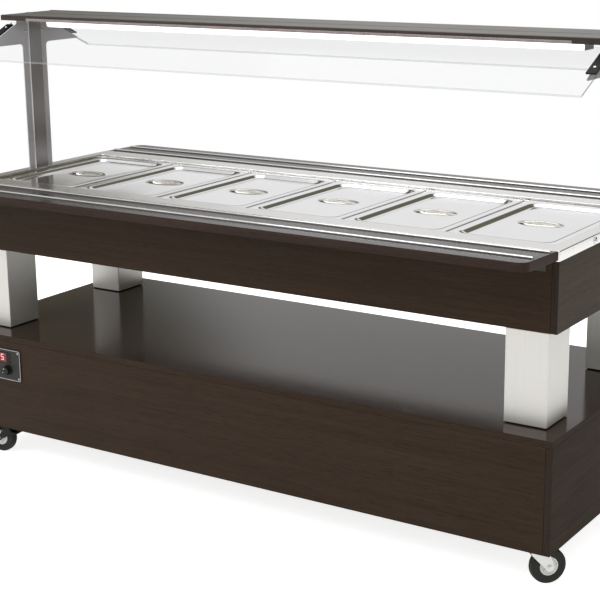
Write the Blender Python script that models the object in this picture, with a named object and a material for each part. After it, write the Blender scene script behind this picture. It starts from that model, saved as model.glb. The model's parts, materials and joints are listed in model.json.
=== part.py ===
"""Mobile heated buffet: wood base and upper box, stainless hot well with six pans and lids,
two fold-down tray slides, and a lit canopy with two sloped glass screens.

Frame: metres, +Z up, +X along the length, -Y towards the customer side that holds the controls.
The origin is at the centre of the footprint, on the floor.
"""

import math

import bmesh
import bpy
from mathutils import Matrix, Vector

# ---------------------------------------------------------------- driving dimensions

GAP = 0.0003                  # clearance between touching pieces

BASE_HALF_LENGTH = 1.055
BASE_HALF_WIDTH = 0.4145
BASE_BOTTOM = 0.104
BASE_TOP = 0.419
BOARD_THICKNESS = 0.019
BASE_FLOOR_BOTTOM = 0.128
BASE_FLOOR_THICKNESS = 0.018

BOX_HALF_LENGTH = 1.025
BOX_HALF_WIDTH = 0.342
BOX_BOTTOM = 0.678
DECK_TOP = 0.895
SKIRT_HEIGHT = 0.027          # steel rim wrapped over the wood panels
BOX_FLOOR_BOTTOM = 0.690
BOX_FLOOR_THICKNESS = 0.016

PILLAR_X = 0.942
PILLAR_Y = 0.273
PILLAR_LENGTH = 0.123
PILLAR_WIDTH = 0.134
PILLAR_PLINTH = 0.003         # shadow gap under each pillar casing
PILLAR_CORNER = 0.004
PILLAR_WALL = 0.004
PILLAR_NECK_INSET = 0.004

STEEL = 0.0015                # sheet thickness of the well
RECESS_DEPTH = 0.010
RECESS_HALF_LENGTH = 0.986
RECESS_HALF_WIDTH = 0.272
TANK_HALF_LENGTH = 0.979
TANK_HALF_WIDTH = 0.262
TANK_BOTTOM = 0.752

PAN_COUNT = 6
PAN_PITCH = 0.3275
PAN_LENGTH = 0.530            # GN 1/1, along Y
PAN_WIDTH = 0.325             # GN 1/1, along X
PAN_DEPTH = 0.100
PAN_SHEET = 0.001
PAN_CORNER = 0.018
PAN_BODY_INSET = 0.011
DECK_OPENING_INSET = 0.0095

LID_SHEET = 0.001
LID_PANEL_INSET = 0.030
LID_PANEL_SLOPE = 0.009
LID_PANEL_DROP = 0.008
LID_PIT_HALF_LENGTH = 0.062
LID_PIT_HALF_WIDTH = 0.034
LID_PIT_DROP = 0.018

SLIDE_HALF_LENGTH = 1.020      # along the wall
SLIDE_END_TAPER = 0.014        # by which each end runs in towards the outer edge
SLIDE_DEPTH = 0.163
SLIDE_THICKNESS = 0.025
SLIDE_CORNER = 0.028
SLIDE_WALL_GAP = 0.0008
STRIP_WIDTH = 0.014
STRIP_HEIGHT = 0.005
STRIP_INNER_OFFSET = 0.024    # from the wall to the middle of the inner strip
STRIP_OUTER_OFFSET = 0.104
STRIP_INNER_HALF_LENGTH = 1.012
STRIP_OUTER_HALF_LENGTH = 1.002
HINGE_RADIUS = 0.0036
HINGE_OUT = 0.0052            # hinge pin in front of the wood wall
HINGE_DOWN = 0.0045           # hinge pin below the slide board

UPRIGHT_X = BOX_HALF_LENGTH + GAP   # inner face of the T plate, outside the skirt
T_PLATE = 0.003
COVER_DEPTH = 0.004           # wiring cover along the inner face of the stem
COVER_HALF_WIDTH = 0.0305
COVER_CHAMFER = 0.002
STEM_HALF_WIDTH = 0.0555
STEM_FILLET = 0.012
ARM_BOTTOM = 1.305
GLASS_INNER_Y = 0.080
GLASS_OUTER_Y = 0.292
GLASS_TOP_Z = 1.378
GLASS_SLOPE = math.radians(25.0)
GLASS_THICKNESS = 0.006
GLASS_HALF_LENGTH = 1.047
ROOF_HALF_LENGTH = 1.055
ROOF_HALF_WIDTH = 0.122
ROOF_BOTTOM = 1.386
ROOF_EDGE = 0.0165
ROOF_RISE = 0.001
LAMP_HALF_LENGTH = 0.940
LAMP_HALF_WIDTH = 0.030
LAMP_HEIGHT = 0.025
LAMP_CHAMFER = 0.008

CONTROL_RIGHT = -0.7725
CONTROL_WIDTH = 0.200
CONTROL_BOTTOM = 0.2725
CONTROL_HEIGHT = 0.103
CONTROL_PROUD = 0.003
CONTROL_FLANGE = 0.006        # border of the face plate around the box behind it
CONTROL_BOX_DEPTH = 0.075
CONTROL_SHEET = 0.002
KNOB_X = -0.8255
KNOB_Z = 0.307
KNOB_RADIUS = 0.017
KNOB_LENGTH = 0.016
KNOB_SKIRT = 0.005
KNOB_SHAFT_RADIUS = 0.004
KNOB_SHAFT_LENGTH = 0.014
DISPLAY_LEFT = -0.905
DISPLAY_RIGHT = -0.813
DISPLAY_BOTTOM = 0.328
DISPLAY_TOP = 0.365
DISPLAY_DEPTH = 0.020
SWITCH_X = -0.925
SWITCH_Z = 0.307
SWITCH_WIDTH = 0.013
SWITCH_HEIGHT = 0.020
SWITCH_CLEARANCE = 0.001

CASTER_X = {-1: 0.955, 1: 0.997}    # swivel axes at the left and at the right end
CASTER_Y = 0.372
WHEEL_RADIUS = 0.050
WHEEL_HALF_WIDTH = 0.014
AXLE_RADIUS = 0.005
TRAIL = 0.035
LEG_INNER = 0.0165
LEG_OUTER = 0.0195
FORK_TOP = BASE_FLOOR_BOTTOM - GAP

CROWN_RADIUS = 0.021
FORK_SHOULDER = 0.1035        # top of the fork legs, just clear of the base panels
FORK_INSIDE_TOP = 0.1010
AXLE_HALF_LENGTH = 0.0225
TYRE_SHOULDER_RADIUS = 0.044
HUB_RADIUS = 0.030

PEDAL_REACH = 0.054           # radius of the pedal's underside about the axle
PEDAL_TIP = 0.070
PEDAL_THICKNESS = 0.003
PEDAL_EAR = 0.002
PEDAL_EAR_RADIUS = 0.010

VALVE_X = 0.30
VALVE_Y = 0.16
VALVE_OUTLET_Z = 0.640
VALVE_AXIS_Z = 0.669
VALVE_BODY_RADIUS = 0.0155
VALVE_BODY_HALF_HEIGHT = 0.014
VALVE_PIPE_RADIUS = 0.010
VALVE_BOSS_LENGTH = 0.024
VALVE_BOSS_RADIUS = 0.007
LEVER_HUB_RADIUS = 0.008
LEVER_HUB_LENGTH = 0.006
LEVER_HALF_WIDTH = 0.006
LEVER_BOTTOM_Z = 0.610
FLOOR_HOLE_RADIUS = 0.016

ELEMENT_RADIUS = 0.004
ELEMENT_HALF_LENGTH = 0.90
ELEMENT_END_X = 0.93
ELEMENT_SPACING = 0.09
ELEMENT_LIFT = 0.008          # centre line above the tank floor

GLAND_X = -0.80
GLAND_Z = 0.22
GLAND_NUT_RADIUS = 0.014
GLAND_NUT_LENGTH = 0.010
GLAND_DOME_RADIUS = 0.011
GLAND_TIP_RADIUS = 0.008
GLAND_LENGTH = 0.028
GLAND_BORE_RADIUS = 0.0045

# ---------------------------------------------------------------- scene helpers

for existing in list(bpy.data.objects):
    bpy.data.objects.remove(existing)

PALETTE = {
    "wenge": ((0.040, 0.027, 0.021), 0.45, 0.0),
    "stainless": ((0.62, 0.61, 0.59), 0.28, 1.0),
    "polished_steel": ((0.70, 0.69, 0.67), 0.12, 1.0),
    "zinc": ((0.55, 0.55, 0.54), 0.38, 1.0),
    "rubber": ((0.018, 0.018, 0.016), 0.75, 0.0),
    "black_plastic": ((0.015, 0.015, 0.015), 0.40, 0.0),
    "dark_panel": ((0.045, 0.045, 0.048), 0.45, 0.0),
    "display": ((0.25, 0.010, 0.006), 0.20, 0.0),
    "glass": ((0.88, 0.93, 0.92), 0.05, 0.0),
    "lamp": ((0.95, 0.95, 0.92), 0.30, 0.0),
    "brass": ((0.60, 0.42, 0.18), 0.30, 1.0),
}


def own_material(name, look):
    color, roughness, metallic = PALETTE[look]
    material = bpy.data.materials.new(name)
    material.use_nodes = True
    shader = material.node_tree.nodes["Principled BSDF"]
    shader.inputs["Base Color"].default_value = (*color, 1.0)
    shader.inputs["Roughness"].default_value = roughness
    shader.inputs["Metallic"].default_value = metallic
    return material


def add_object(name, mesh, look, origin=(0, 0, 0), parent=None, smooth=False):
    """Link a mesh as a named object. Its vertices are in world space and are shifted to the origin."""
    mesh.transform(Matrix.Translation(-Vector(origin)))
    if smooth:
        mesh.shade_smooth()
        mesh.set_sharp_from_angle(angle=math.radians(35))
    item = bpy.data.objects.new(name, mesh)
    bpy.context.scene.collection.objects.link(item)
    item.location = origin
    item.data.materials.clear()
    item.data.materials.append(own_material(name, look))
    if parent is not None:
        item.parent = parent
        item.matrix_parent_inverse = Matrix.Translation(-parent.matrix_world.translation)
    return item


def add_pivot(name, origin, parent=None):
    """An empty on a joint's axis, which carries the pieces that move together."""
    pivot = bpy.data.objects.new(name, None)
    bpy.context.scene.collection.objects.link(pivot)
    pivot.location = origin
    if parent is not None:
        pivot.parent = parent
        pivot.matrix_parent_inverse = Matrix.Translation(-parent.matrix_world.translation)
    bpy.context.view_layer.update()
    return pivot


def finish_mesh(bm, name):
    bmesh.ops.recalc_face_normals(bm, faces=bm.faces)
    mesh = bpy.data.meshes.new(name)
    bm.to_mesh(mesh)
    bm.free()
    return mesh


def cuboid(low, high):
    bm = bmesh.new()
    size = Vector(high) - Vector(low)
    centre = (Vector(high) + Vector(low)) / 2
    bmesh.ops.create_cube(bm, size=1.0, matrix=Matrix.Translation(centre) @ Matrix.Diagonal((*size, 1.0)))
    return finish_mesh(bm, "cuboid")


def cylinder(start, end, radius, segments=20, end_radius=None):
    bm = bmesh.new()
    along = Vector(end) - Vector(start)
    turn = along.to_track_quat("Z", "Y").to_matrix().to_4x4()
    place = Matrix.Translation((Vector(start) + Vector(end)) / 2) @ turn
    bmesh.ops.create_cone(
        bm, cap_ends=True, segments=segments, radius1=radius,
        radius2=radius if end_radius is None else end_radius, depth=along.length, matrix=place)
    return finish_mesh(bm, "cylinder")


def prism(outline, to_world, thickness):
    """Extrude a closed 2-D outline. to_world(a, b, t) places a point of it at depth t."""
    bm = bmesh.new()
    front = [bm.verts.new(to_world(a, b, 0.0)) for a, b in outline]
    back = [bm.verts.new(to_world(a, b, thickness)) for a, b in outline]
    bm.faces.new(front)
    bm.faces.new(back[::-1])
    count = len(outline)
    for index in range(count):
        following = (index + 1) % count
        bm.faces.new((front[index], front[following], back[following], back[index]))
    return finish_mesh(bm, "prism")


def arc(centre, radius, start_degrees, end_degrees, steps):
    points = []
    for index in range(steps + 1):
        angle = math.radians(start_degrees + (end_degrees - start_degrees) * index / steps)
        points.append((centre[0] + radius * math.cos(angle), centre[1] + radius * math.sin(angle)))
    return points


def rounded_outline(half_x, half_y, radius, steps=3):
    points = []
    for sign_x, sign_y, start in ((1, 1, 0), (-1, 1, 90), (-1, -1, 180), (1, -1, 270)):
        centre = (sign_x * (half_x - radius), sign_y * (half_y - radius))
        points += arc(centre, radius, start, start + 90, steps)
    return points


def oval_outline(half_x, half_y, count):
    """An ellipse with its points on the same bearings order as rounded_outline."""
    points = []
    for index in range(count):
        angle = math.radians(360.0 * (index + 0.5) / count)
        points.append((half_x * math.cos(angle), half_y * math.sin(angle)))
    return points


def ring_stack(rings, centre):
    """Closed solid from equal-sized rings of (outline, z), bridged in order, capped at both ends."""
    bm = bmesh.new()
    loops = []
    for outline, height in rings:
        loops.append([bm.verts.new((centre[0] + x, centre[1] + y, height)) for x, y in outline])
    bm.faces.new(loops[0])
    bm.faces.new(loops[-1][::-1])
    count = len(loops[0])
    for lower, upper in zip(loops, loops[1:]):
        for index in range(count):
            following = (index + 1) % count
            bm.faces.new((lower[index], lower[following], upper[following], upper[index]))
    return finish_mesh(bm, "ring_stack")


def turned(profile, axis_point, axis, segments):
    """Ring solid from a closed profile of (radius, distance along the axis)."""
    bm = bmesh.new()
    turn = Vector(axis).to_track_quat("Z", "Y").to_matrix().to_4x4()
    place = Matrix.Translation(axis_point) @ turn
    loops = []
    for step in range(segments):
        angle = 2 * math.pi * step / segments
        loops.append([
            bm.verts.new(place @ Vector((r * math.cos(angle), r * math.sin(angle), h)))
            for r, h in profile])
    count = len(profile)
    for step in range(segments):
        here = loops[step]
        there = loops[(step + 1) % segments]
        for index in range(count):
            following = (index + 1) % count
            bm.faces.new((here[index], there[index], there[following], here[following]))
    return finish_mesh(bm, "turned")


def combine(base, steps):
    """Apply Boolean steps of (operation, mesh) to a mesh, and return the resulting mesh."""
    body = bpy.data.objects.new("combine_body", base)
    bpy.context.scene.collection.objects.link(body)
    tools = []
    for operation, mesh in steps:
        tool = bpy.data.objects.new("combine_tool", mesh)
        bpy.context.scene.collection.objects.link(tool)
        tool.hide_render = True
        tool.display_type = "WIRE"
        modifier = body.modifiers.new("combine", "BOOLEAN")
        modifier.operation = operation
        modifier.solver = "EXACT"
        modifier.object = tool
        tools.append(tool)
    bpy.context.view_layer.update()
    result = bpy.data.meshes.new_from_object(body.evaluated_get(bpy.context.evaluated_depsgraph_get()))
    for item in [body] + tools:
        bpy.data.objects.remove(item)
    return result


# ---------------------------------------------------------------- wood carcasses


def wood_panel(name, low, high):
    add_object(name, cuboid(low, high), "wenge")


def build_carcass(prefix, half_length, half_width, bottom, top):
    """Front and rear panels run between the end panels, which cover their ends."""
    inner = half_length - BOARD_THICKNESS
    for side, word in ((-1, "front"), (1, "rear")):
        faces = sorted((side * half_width, side * (half_width - BOARD_THICKNESS)))
        low = (-inner + GAP, faces[0], bottom)
        high = (inner - GAP, faces[1], top)
        if word == "front" and prefix == "base":
            panel = combine(cuboid(low, high), [("DIFFERENCE", control_cutout())])
            add_object("base_front_panel", panel, "wenge")
        else:
            wood_panel(f"{prefix}_{word}_panel", low, high)
    for side, word in ((-1, "left"), (1, "right")):
        faces = sorted((side * half_length, side * inner))
        wood_panel(f"{prefix}_{word}_panel", (faces[0], -half_width, bottom), (faces[1], half_width, top))


def control_cutout():
    """The opening in the base front panel that the control box passes through."""
    margin = CONTROL_FLANGE - 0.002
    return cuboid(
        (CONTROL_RIGHT - CONTROL_WIDTH + margin, -BASE_HALF_WIDTH - 0.01, CONTROL_BOTTOM + margin),
        (CONTROL_RIGHT - margin, -BASE_HALF_WIDTH + 0.05, CONTROL_BOTTOM + CONTROL_HEIGHT - margin))


def build_base():
    top_underside = BASE_TOP - BOARD_THICKNESS
    build_carcass("base", BASE_HALF_LENGTH, BASE_HALF_WIDTH, BASE_BOTTOM, top_underside - GAP)
    wood_panel("base_top_board", (-BASE_HALF_LENGTH, -BASE_HALF_WIDTH, top_underside),
               (BASE_HALF_LENGTH, BASE_HALF_WIDTH, BASE_TOP))
    inner_x = BASE_HALF_LENGTH - BOARD_THICKNESS - GAP
    inner_y = BASE_HALF_WIDTH - BOARD_THICKNESS - GAP
    floor_top = BASE_FLOOR_BOTTOM + BASE_FLOOR_THICKNESS
    wood_panel("base_floor_board", (-inner_x, -inner_y, BASE_FLOOR_BOTTOM), (inner_x, inner_y, floor_top))


def build_box():
    panel_top = DECK_TOP - SKIRT_HEIGHT - GAP
    build_carcass("box", BOX_HALF_LENGTH, BOX_HALF_WIDTH, BOX_BOTTOM, panel_top)
    inner_x = BOX_HALF_LENGTH - BOARD_THICKNESS - GAP
    inner_y = BOX_HALF_WIDTH - BOARD_THICKNESS - GAP
    top = BOX_FLOOR_BOTTOM + BOX_FLOOR_THICKNESS
    floor = cuboid((-inner_x, -inner_y, BOX_FLOOR_BOTTOM), (inner_x, inner_y, top))
    hole = cylinder((VALVE_X, VALVE_Y, BOX_FLOOR_BOTTOM - 0.01), (VALVE_X, VALVE_Y, top + 0.01),
                    FLOOR_HOLE_RADIUS)
    add_object("box_floor_board", combine(floor, [("DIFFERENCE", hole)]), "wenge")


def build_pillars():
    """Stainless casings, open below, on a small recessed plinth. A narrower neck enters the box."""
    bottom = BASE_TOP + GAP
    top = BOX_FLOOR_BOTTOM - GAP
    radius = PILLAR_CORNER
    half_x = PILLAR_LENGTH / 2
    half_y = PILLAR_WIDTH / 2
    neck_outer = BOX_HALF_WIDTH - BOARD_THICKNESS - 0.001
    neck_inner = PILLAR_Y - half_y + PILLAR_NECK_INSET
    neck_half_x = half_x - PILLAR_NECK_INSET
    neck_half_y = (neck_outer - neck_inner) / 2
    for side_y, row in ((-1, "front"), (1, "rear")):
        for side_x, word in ((-1, "left"), (1, "right")):
            centre = (side_x * PILLAR_X, side_y * PILLAR_Y)
            outer = rounded_outline(half_x, half_y, radius, 2)
            plinth = rounded_outline(neck_half_x, half_y - PILLAR_NECK_INSET, radius, 2)
            shift = side_y * ((neck_outer + neck_inner) / 2 - PILLAR_Y)
            neck = [(x, y + shift) for x, y in rounded_outline(neck_half_x, neck_half_y, radius, 2)]
            rings = [(plinth, bottom), (plinth, bottom + PILLAR_PLINTH), (outer, bottom + PILLAR_PLINTH),
                     (outer, BOX_BOTTOM - GAP), (neck, BOX_BOTTOM - GAP), (neck, top)]
            casing = ring_stack(rings, centre)
            bore_half_x = neck_half_x - PILLAR_WALL
            ys = sorted((side_y * (neck_inner + PILLAR_WALL), side_y * (neck_outer - PILLAR_WALL)))
            bore = cuboid(
                (centre[0] - bore_half_x, ys[0], bottom - 0.01),
                (centre[0] + bore_half_x, ys[1], top + 0.01))
            add_object(f"{row}_{word}_pillar", combine(casing, [("DIFFERENCE", bore)]), "stainless")


# ---------------------------------------------------------------- hot well, pans and lids


def pan_centres():
    first = -(PAN_COUNT - 1) / 2 * PAN_PITCH
    return [first + index * PAN_PITCH for index in range(PAN_COUNT)]


def deck_level():
    return DECK_TOP - RECESS_DEPTH


def build_well():
    """One sheet-steel piece: skirt, raised rim, recessed deck with six openings, and the tank."""
    skirt_bottom = DECK_TOP - SKIRT_HEIGHT
    level = deck_level()
    body = cuboid(
        (-BOX_HALF_LENGTH, -BOX_HALF_WIDTH, skirt_bottom), (BOX_HALF_LENGTH, BOX_HALF_WIDTH, DECK_TOP))
    steps = [("UNION", cuboid(
        (-TANK_HALF_LENGTH, -TANK_HALF_WIDTH, TANK_BOTTOM),
        (TANK_HALF_LENGTH, TANK_HALF_WIDTH, skirt_bottom + 0.002)))]
    steps.append(("DIFFERENCE", cuboid(
        (-RECESS_HALF_LENGTH, -RECESS_HALF_WIDTH, level),
        (RECESS_HALF_LENGTH, RECESS_HALF_WIDTH, DECK_TOP + 0.01))))
    steps.append(("DIFFERENCE", cuboid(
        (-TANK_HALF_LENGTH + STEEL, -TANK_HALF_WIDTH + STEEL, TANK_BOTTOM + STEEL),
        (TANK_HALF_LENGTH - STEEL, TANK_HALF_WIDTH - STEEL, level - STEEL))))
    steps += [("DIFFERENCE", mesh) for mesh in skirt_hollows(skirt_bottom, level)]
    half_x = PAN_WIDTH / 2 - DECK_OPENING_INSET
    half_y = PAN_LENGTH / 2 - DECK_OPENING_INSET
    for x in pan_centres():
        opening = cuboid((x - half_x, -half_y, level - 0.01), (x + half_x, half_y, level + 0.01))
        steps.append(("DIFFERENCE", opening))
    drain = cylinder((VALVE_X, VALVE_Y, TANK_BOTTOM - 0.01), (VALVE_X, VALVE_Y, TANK_BOTTOM + 0.01), 0.008)
    steps.append(("DIFFERENCE", drain))
    add_object("well_tank", combine(body, steps), "stainless")


def skirt_hollows(skirt_bottom, level):
    """The open space under the rim, between the skirt and the tank wall: one ring in two heights."""
    outer_x = BOX_HALF_LENGTH - STEEL
    outer_y = BOX_HALF_WIDTH - STEEL
    low = skirt_bottom - 0.01
    hollows = []
    for inner_x, inner_y, high in (
            (TANK_HALF_LENGTH, TANK_HALF_WIDTH, level - STEEL),
            (RECESS_HALF_LENGTH + STEEL, RECESS_HALF_WIDTH + STEEL, DECK_TOP - STEEL)):
        for side in (-1, 1):
            ys = sorted((side * inner_y, side * outer_y))
            xs = sorted((side * inner_x, side * outer_x))
            hollows.append(cuboid((-outer_x, ys[0], low), (outer_x, ys[1], high)))
            hollows.append(cuboid((xs[0], -outer_y, low), (xs[1], outer_y, high)))
    return hollows


def build_heating_element():
    """A flat hairpin element lying just above the tank floor, held clear of it."""
    height = TANK_BOTTOM + STEEL + ELEMENT_LIFT
    half = ELEMENT_SPACING / 2
    tube = bpy.data.curves.new("element_path", "CURVE")
    tube.dimensions = "3D"
    tube.bevel_depth = ELEMENT_RADIUS
    tube.bevel_resolution = 1
    tube.use_fill_caps = True
    path = [(ELEMENT_END_X, -half), (-ELEMENT_HALF_LENGTH, -half)]
    path += [(-ELEMENT_HALF_LENGTH - x, y) for x, y in arc((0.0, 0.0), half, -72, 72, 6)]
    path += [(-ELEMENT_HALF_LENGTH, half), (ELEMENT_END_X, half)]
    spline = tube.splines.new("POLY")
    spline.points.add(len(path) - 1)
    for point, (x, y) in zip(spline.points, path):
        point.co = (x, y, height, 1.0)
    holder = bpy.data.objects.new("element_holder", tube)
    bpy.context.scene.collection.objects.link(holder)
    bpy.context.view_layer.update()
    mesh = bpy.data.meshes.new_from_object(holder.evaluated_get(bpy.context.evaluated_depsgraph_get()))
    bpy.data.objects.remove(holder)
    add_object("heating_element", mesh, "zinc", smooth=True)


def pan_mesh(x):
    """Thin-walled food pan: flange, tapered wall and flat floor."""
    top = deck_level() + GAP + PAN_SHEET
    floor = top - PAN_DEPTH
    half_x = PAN_WIDTH / 2
    half_y = PAN_LENGTH / 2
    inner = PAN_BODY_INSET
    taper = 0.006

    def outline(inset, radius):
        return rounded_outline(half_x - inset, half_y - inset, radius)

    rings = [
        (outline(inner + taper + PAN_SHEET, 0.030), floor + PAN_SHEET),
        (outline(inner + PAN_SHEET, 0.030), top),
        (outline(0.0, PAN_CORNER), top),
        (outline(0.0, PAN_CORNER), top - PAN_SHEET),
        (outline(inner, 0.031), top - PAN_SHEET),
        (outline(inner + taper, 0.031), floor),
    ]
    return ring_stack(rings, (x, 0.0))


def lid_mesh(x):
    """Pressed lid: flat flange, panel sunk on a slope, and an oval pit under a strap handle."""
    under = deck_level() + 2 * GAP + PAN_SHEET
    half_x = PAN_WIDTH / 2 - 0.0005
    half_y = PAN_LENGTH / 2
    steps = 3
    count = 4 * (steps + 1)
    flange = rounded_outline(half_x, half_y, 0.012, steps)
    shoulder = rounded_outline(half_x - LID_PANEL_INSET, half_y - LID_PANEL_INSET, 0.035, steps)
    inset = LID_PANEL_INSET + LID_PANEL_SLOPE
    panel = rounded_outline(half_x - inset, half_y - inset, 0.028, steps)
    pit_edge = oval_outline(LID_PIT_HALF_LENGTH, LID_PIT_HALF_WIDTH, count)
    pit_floor = oval_outline(LID_PIT_HALF_LENGTH * 0.62, LID_PIT_HALF_WIDTH * 0.62, count)
    rings = [
        (pit_floor, under - LID_PIT_DROP),
        (pit_edge, under - LID_PANEL_DROP),
        (panel, under - LID_PANEL_DROP),
        (shoulder, under),
        (flange, under),
        (flange, under + LID_SHEET),
        (shoulder, under + LID_SHEET),
        (panel, under + LID_SHEET - LID_PANEL_DROP),
        (pit_edge, under + LID_SHEET - LID_PANEL_DROP),
        (pit_floor, under + LID_SHEET - LID_PIT_DROP),
    ]
    body = ring_stack(rings, (x, 0.0))
    strap_top = under + LID_SHEET - LID_PANEL_DROP + 0.0035
    strap = cuboid(
        (x - LID_PIT_HALF_LENGTH - 0.006, -0.009, strap_top - 0.004),
        (x + LID_PIT_HALF_LENGTH + 0.006, 0.009, strap_top))
    return combine(body, [("UNION", strap)])


def build_pans_and_lids():
    for number, x in enumerate(pan_centres(), start=1):
        origin = (x, 0.0, deck_level())
        pan_pivot = add_pivot(f"pan_{number}_lift", origin)
        add_object(f"pan_{number}", pan_mesh(x), "polished_steel", origin, pan_pivot, smooth=True)
        lid_pivot = add_pivot(f"lid_{number}_lift", origin, pan_pivot)
        add_object(f"lid_{number}", lid_mesh(x), "polished_steel", origin, lid_pivot, smooth=True)


def build_drain_valve():
    """Ball valve on the tank outlet, with a quarter-turn lever."""

    def at(height, y=VALVE_Y):
        return (VALVE_X, y, height)

    pipe = cylinder(at(VALVE_OUTLET_Z), at(TANK_BOTTOM - GAP), VALVE_PIPE_RADIUS)
    body = cylinder(at(VALVE_AXIS_Z - VALVE_BODY_HALF_HEIGHT), at(VALVE_AXIS_Z + VALVE_BODY_HALF_HEIGHT),
                    VALVE_BODY_RADIUS, 16)
    boss_end = VALVE_Y - VALVE_BOSS_LENGTH
    boss = cylinder(at(VALVE_AXIS_Z, boss_end), at(VALVE_AXIS_Z), VALVE_BOSS_RADIUS, 16)
    add_object("drain_valve", combine(pipe, [("UNION", body), ("UNION", boss)]), "brass", smooth=True)
    face = boss_end - GAP
    pivot = add_pivot("drain_lever_pivot", at(VALVE_AXIS_Z, face))
    hub = cylinder(at(VALVE_AXIS_Z, face - LEVER_HUB_LENGTH), at(VALVE_AXIS_Z, face), LEVER_HUB_RADIUS, 16)
    blade = cuboid(
        (VALVE_X - LEVER_HALF_WIDTH, face - 0.005, LEVER_BOTTOM_Z),
        (VALVE_X + LEVER_HALF_WIDTH, face - 0.002, VALVE_AXIS_Z))
    lever = combine(hub, [("UNION", blade)])
    add_object("drain_lever", lever, "black_plastic", at(VALVE_AXIS_Z, face), pivot, smooth=True)


# ---------------------------------------------------------------- tray slides


def slide_frame(side):
    """World places of a slide's wall face, hinge pin and board levels. side is -1 front, +1 rear."""
    wall = side * BOX_HALF_WIDTH
    board_bottom = DECK_TOP - SLIDE_THICKNESS
    pin_y = wall + side * HINGE_OUT
    pin_z = board_bottom - HINGE_DOWN
    return wall, board_bottom, pin_y, pin_z


def slide_board_mesh(side):
    wall, board_bottom, _, _ = slide_frame(side)
    inner = abs(wall) + SLIDE_WALL_GAP
    outer = inner + SLIDE_DEPTH
    radius = SLIDE_CORNER
    slant = math.atan(SLIDE_END_TAPER / SLIDE_DEPTH)
    centre_y = outer - radius
    centre_x = SLIDE_HALF_LENGTH - (centre_y - inner) * math.tan(slant) - radius / math.cos(slant)
    start = math.degrees(slant)
    outline = [(SLIDE_HALF_LENGTH, inner)]
    outline += arc((centre_x, centre_y), radius, start, 90, 5)
    outline += arc((-centre_x, centre_y), radius, 90, 180 - start, 5)
    outline.append((-SLIDE_HALF_LENGTH, inner))
    return prism(outline, lambda a, b, t: (a, side * b, board_bottom + t), SLIDE_THICKNESS)


def strip_mesh(side, offset, half_length):
    """Half-round metal strip lying on the board."""
    wall, _, _, _ = slide_frame(side)
    middle = wall + side * offset
    outline = [(-STRIP_WIDTH / 2, 0.0), (STRIP_WIDTH / 2, 0.0)]
    for degrees in (30, 62, 90, 118, 150):
        angle = math.radians(degrees)
        outline.append((STRIP_WIDTH / 2 * math.cos(angle), STRIP_HEIGHT * math.sin(angle)))
    bottom = DECK_TOP + GAP
    return prism(outline, lambda a, b, t: (-half_length + t, middle + a, bottom + b), 2 * half_length)


def build_slides():
    for side, word in ((-1, "front"), (1, "rear")):
        wall, board_bottom, pin_y, pin_z = slide_frame(side)
        pin = (0.0, pin_y, pin_z)
        pivot = add_pivot(f"{word}_slide_pivot", pin)
        add_object(f"{word}_slide_board", slide_board_mesh(side), "wenge", pin, pivot)
        for label, offset, half in (
                ("inner", STRIP_INNER_OFFSET, STRIP_INNER_HALF_LENGTH),
                ("outer", STRIP_OUTER_OFFSET, STRIP_OUTER_HALF_LENGTH)):
            strip = strip_mesh(side, offset, half)
            add_object(f"{word}_slide_{label}_strip", strip, "polished_steel", pin, pivot, smooth=True)
        build_hinge_bar(side, word, pin_y, pin_z)


def build_hinge_bar(side, word, pin_y, pin_z):
    """Fixed hinge leaf on the wood wall, with the pin tube along its top edge."""
    face = side * (BOX_HALF_WIDTH + GAP)
    leaf_bottom = pin_z - 0.026
    ys = sorted((face, face + side * 0.0025))
    half = SLIDE_HALF_LENGTH - 0.03
    leaf = cuboid((-half, ys[0], leaf_bottom), (half, ys[1], pin_z))
    tube = cylinder((-half, pin_y, pin_z), (half, pin_y, pin_z), HINGE_RADIUS, 12)
    add_object(f"{word}_slide_hinge", combine(leaf, [("UNION", tube)]), "stainless", smooth=True)


# ---------------------------------------------------------------- canopy


def glass_top(y):
    """Height of the glass's upper face at a distance y from the middle plane."""
    return GLASS_TOP_Z - (abs(y) - GLASS_INNER_Y) * math.tan(GLASS_SLOPE)


def glass_under(y):
    return glass_top(y) - GLASS_THICKNESS / math.cos(GLASS_SLOPE)


def t_plate_outline():
    """Half of the T plate (y >= 0), from the foot up around the arm to the head."""
    foot = DECK_TOP - SKIRT_HEIGHT
    nose = ARM_BOTTOM + 0.004
    tip_y = GLASS_INNER_Y + (glass_under(GLASS_INNER_Y) - GAP - nose) / math.tan(GLASS_SLOPE)
    head_y = GLASS_INNER_Y - 0.0015
    half = [(STEM_HALF_WIDTH, foot)]
    centre = (STEM_HALF_WIDTH + STEM_FILLET, ARM_BOTTOM - STEM_FILLET)
    half += arc(centre, STEM_FILLET, 180, 90, 3)
    half.append((tip_y - 0.004, ARM_BOTTOM))
    half.append((tip_y, nose))
    half.append((head_y, glass_under(head_y) - GAP))
    half.append((head_y, ROOF_BOTTOM - GAP))
    return half


def build_uprights():
    """T plate screwed to the end of the skirt, with a shallow wiring cover up its inner face."""
    half = t_plate_outline()
    outline = half + [(-y, z) for y, z in reversed(half)]
    low = DECK_TOP + GAP
    height = ROOF_BOTTOM - GAP - low
    face = UPRIGHT_X - COVER_DEPTH
    buried = UPRIGHT_X + T_PLATE / 3
    flat = COVER_HALF_WIDTH - COVER_CHAMFER
    cover = [(face, -flat), (face + COVER_CHAMFER, -COVER_HALF_WIDTH), (buried, -COVER_HALF_WIDTH),
             (buried, COVER_HALF_WIDTH), (face + COVER_CHAMFER, COVER_HALF_WIDTH), (face, flat)]
    for side, word in ((-1, "left"), (1, "right")):
        plate = prism(outline, lambda a, b, t: (side * (UPRIGHT_X + t), a, b), T_PLATE)
        strip = prism(cover, lambda a, b, t: (side * a, b, low + t), height)
        add_object(f"{word}_upright", combine(plate, [("UNION", strip)]), "stainless")


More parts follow.
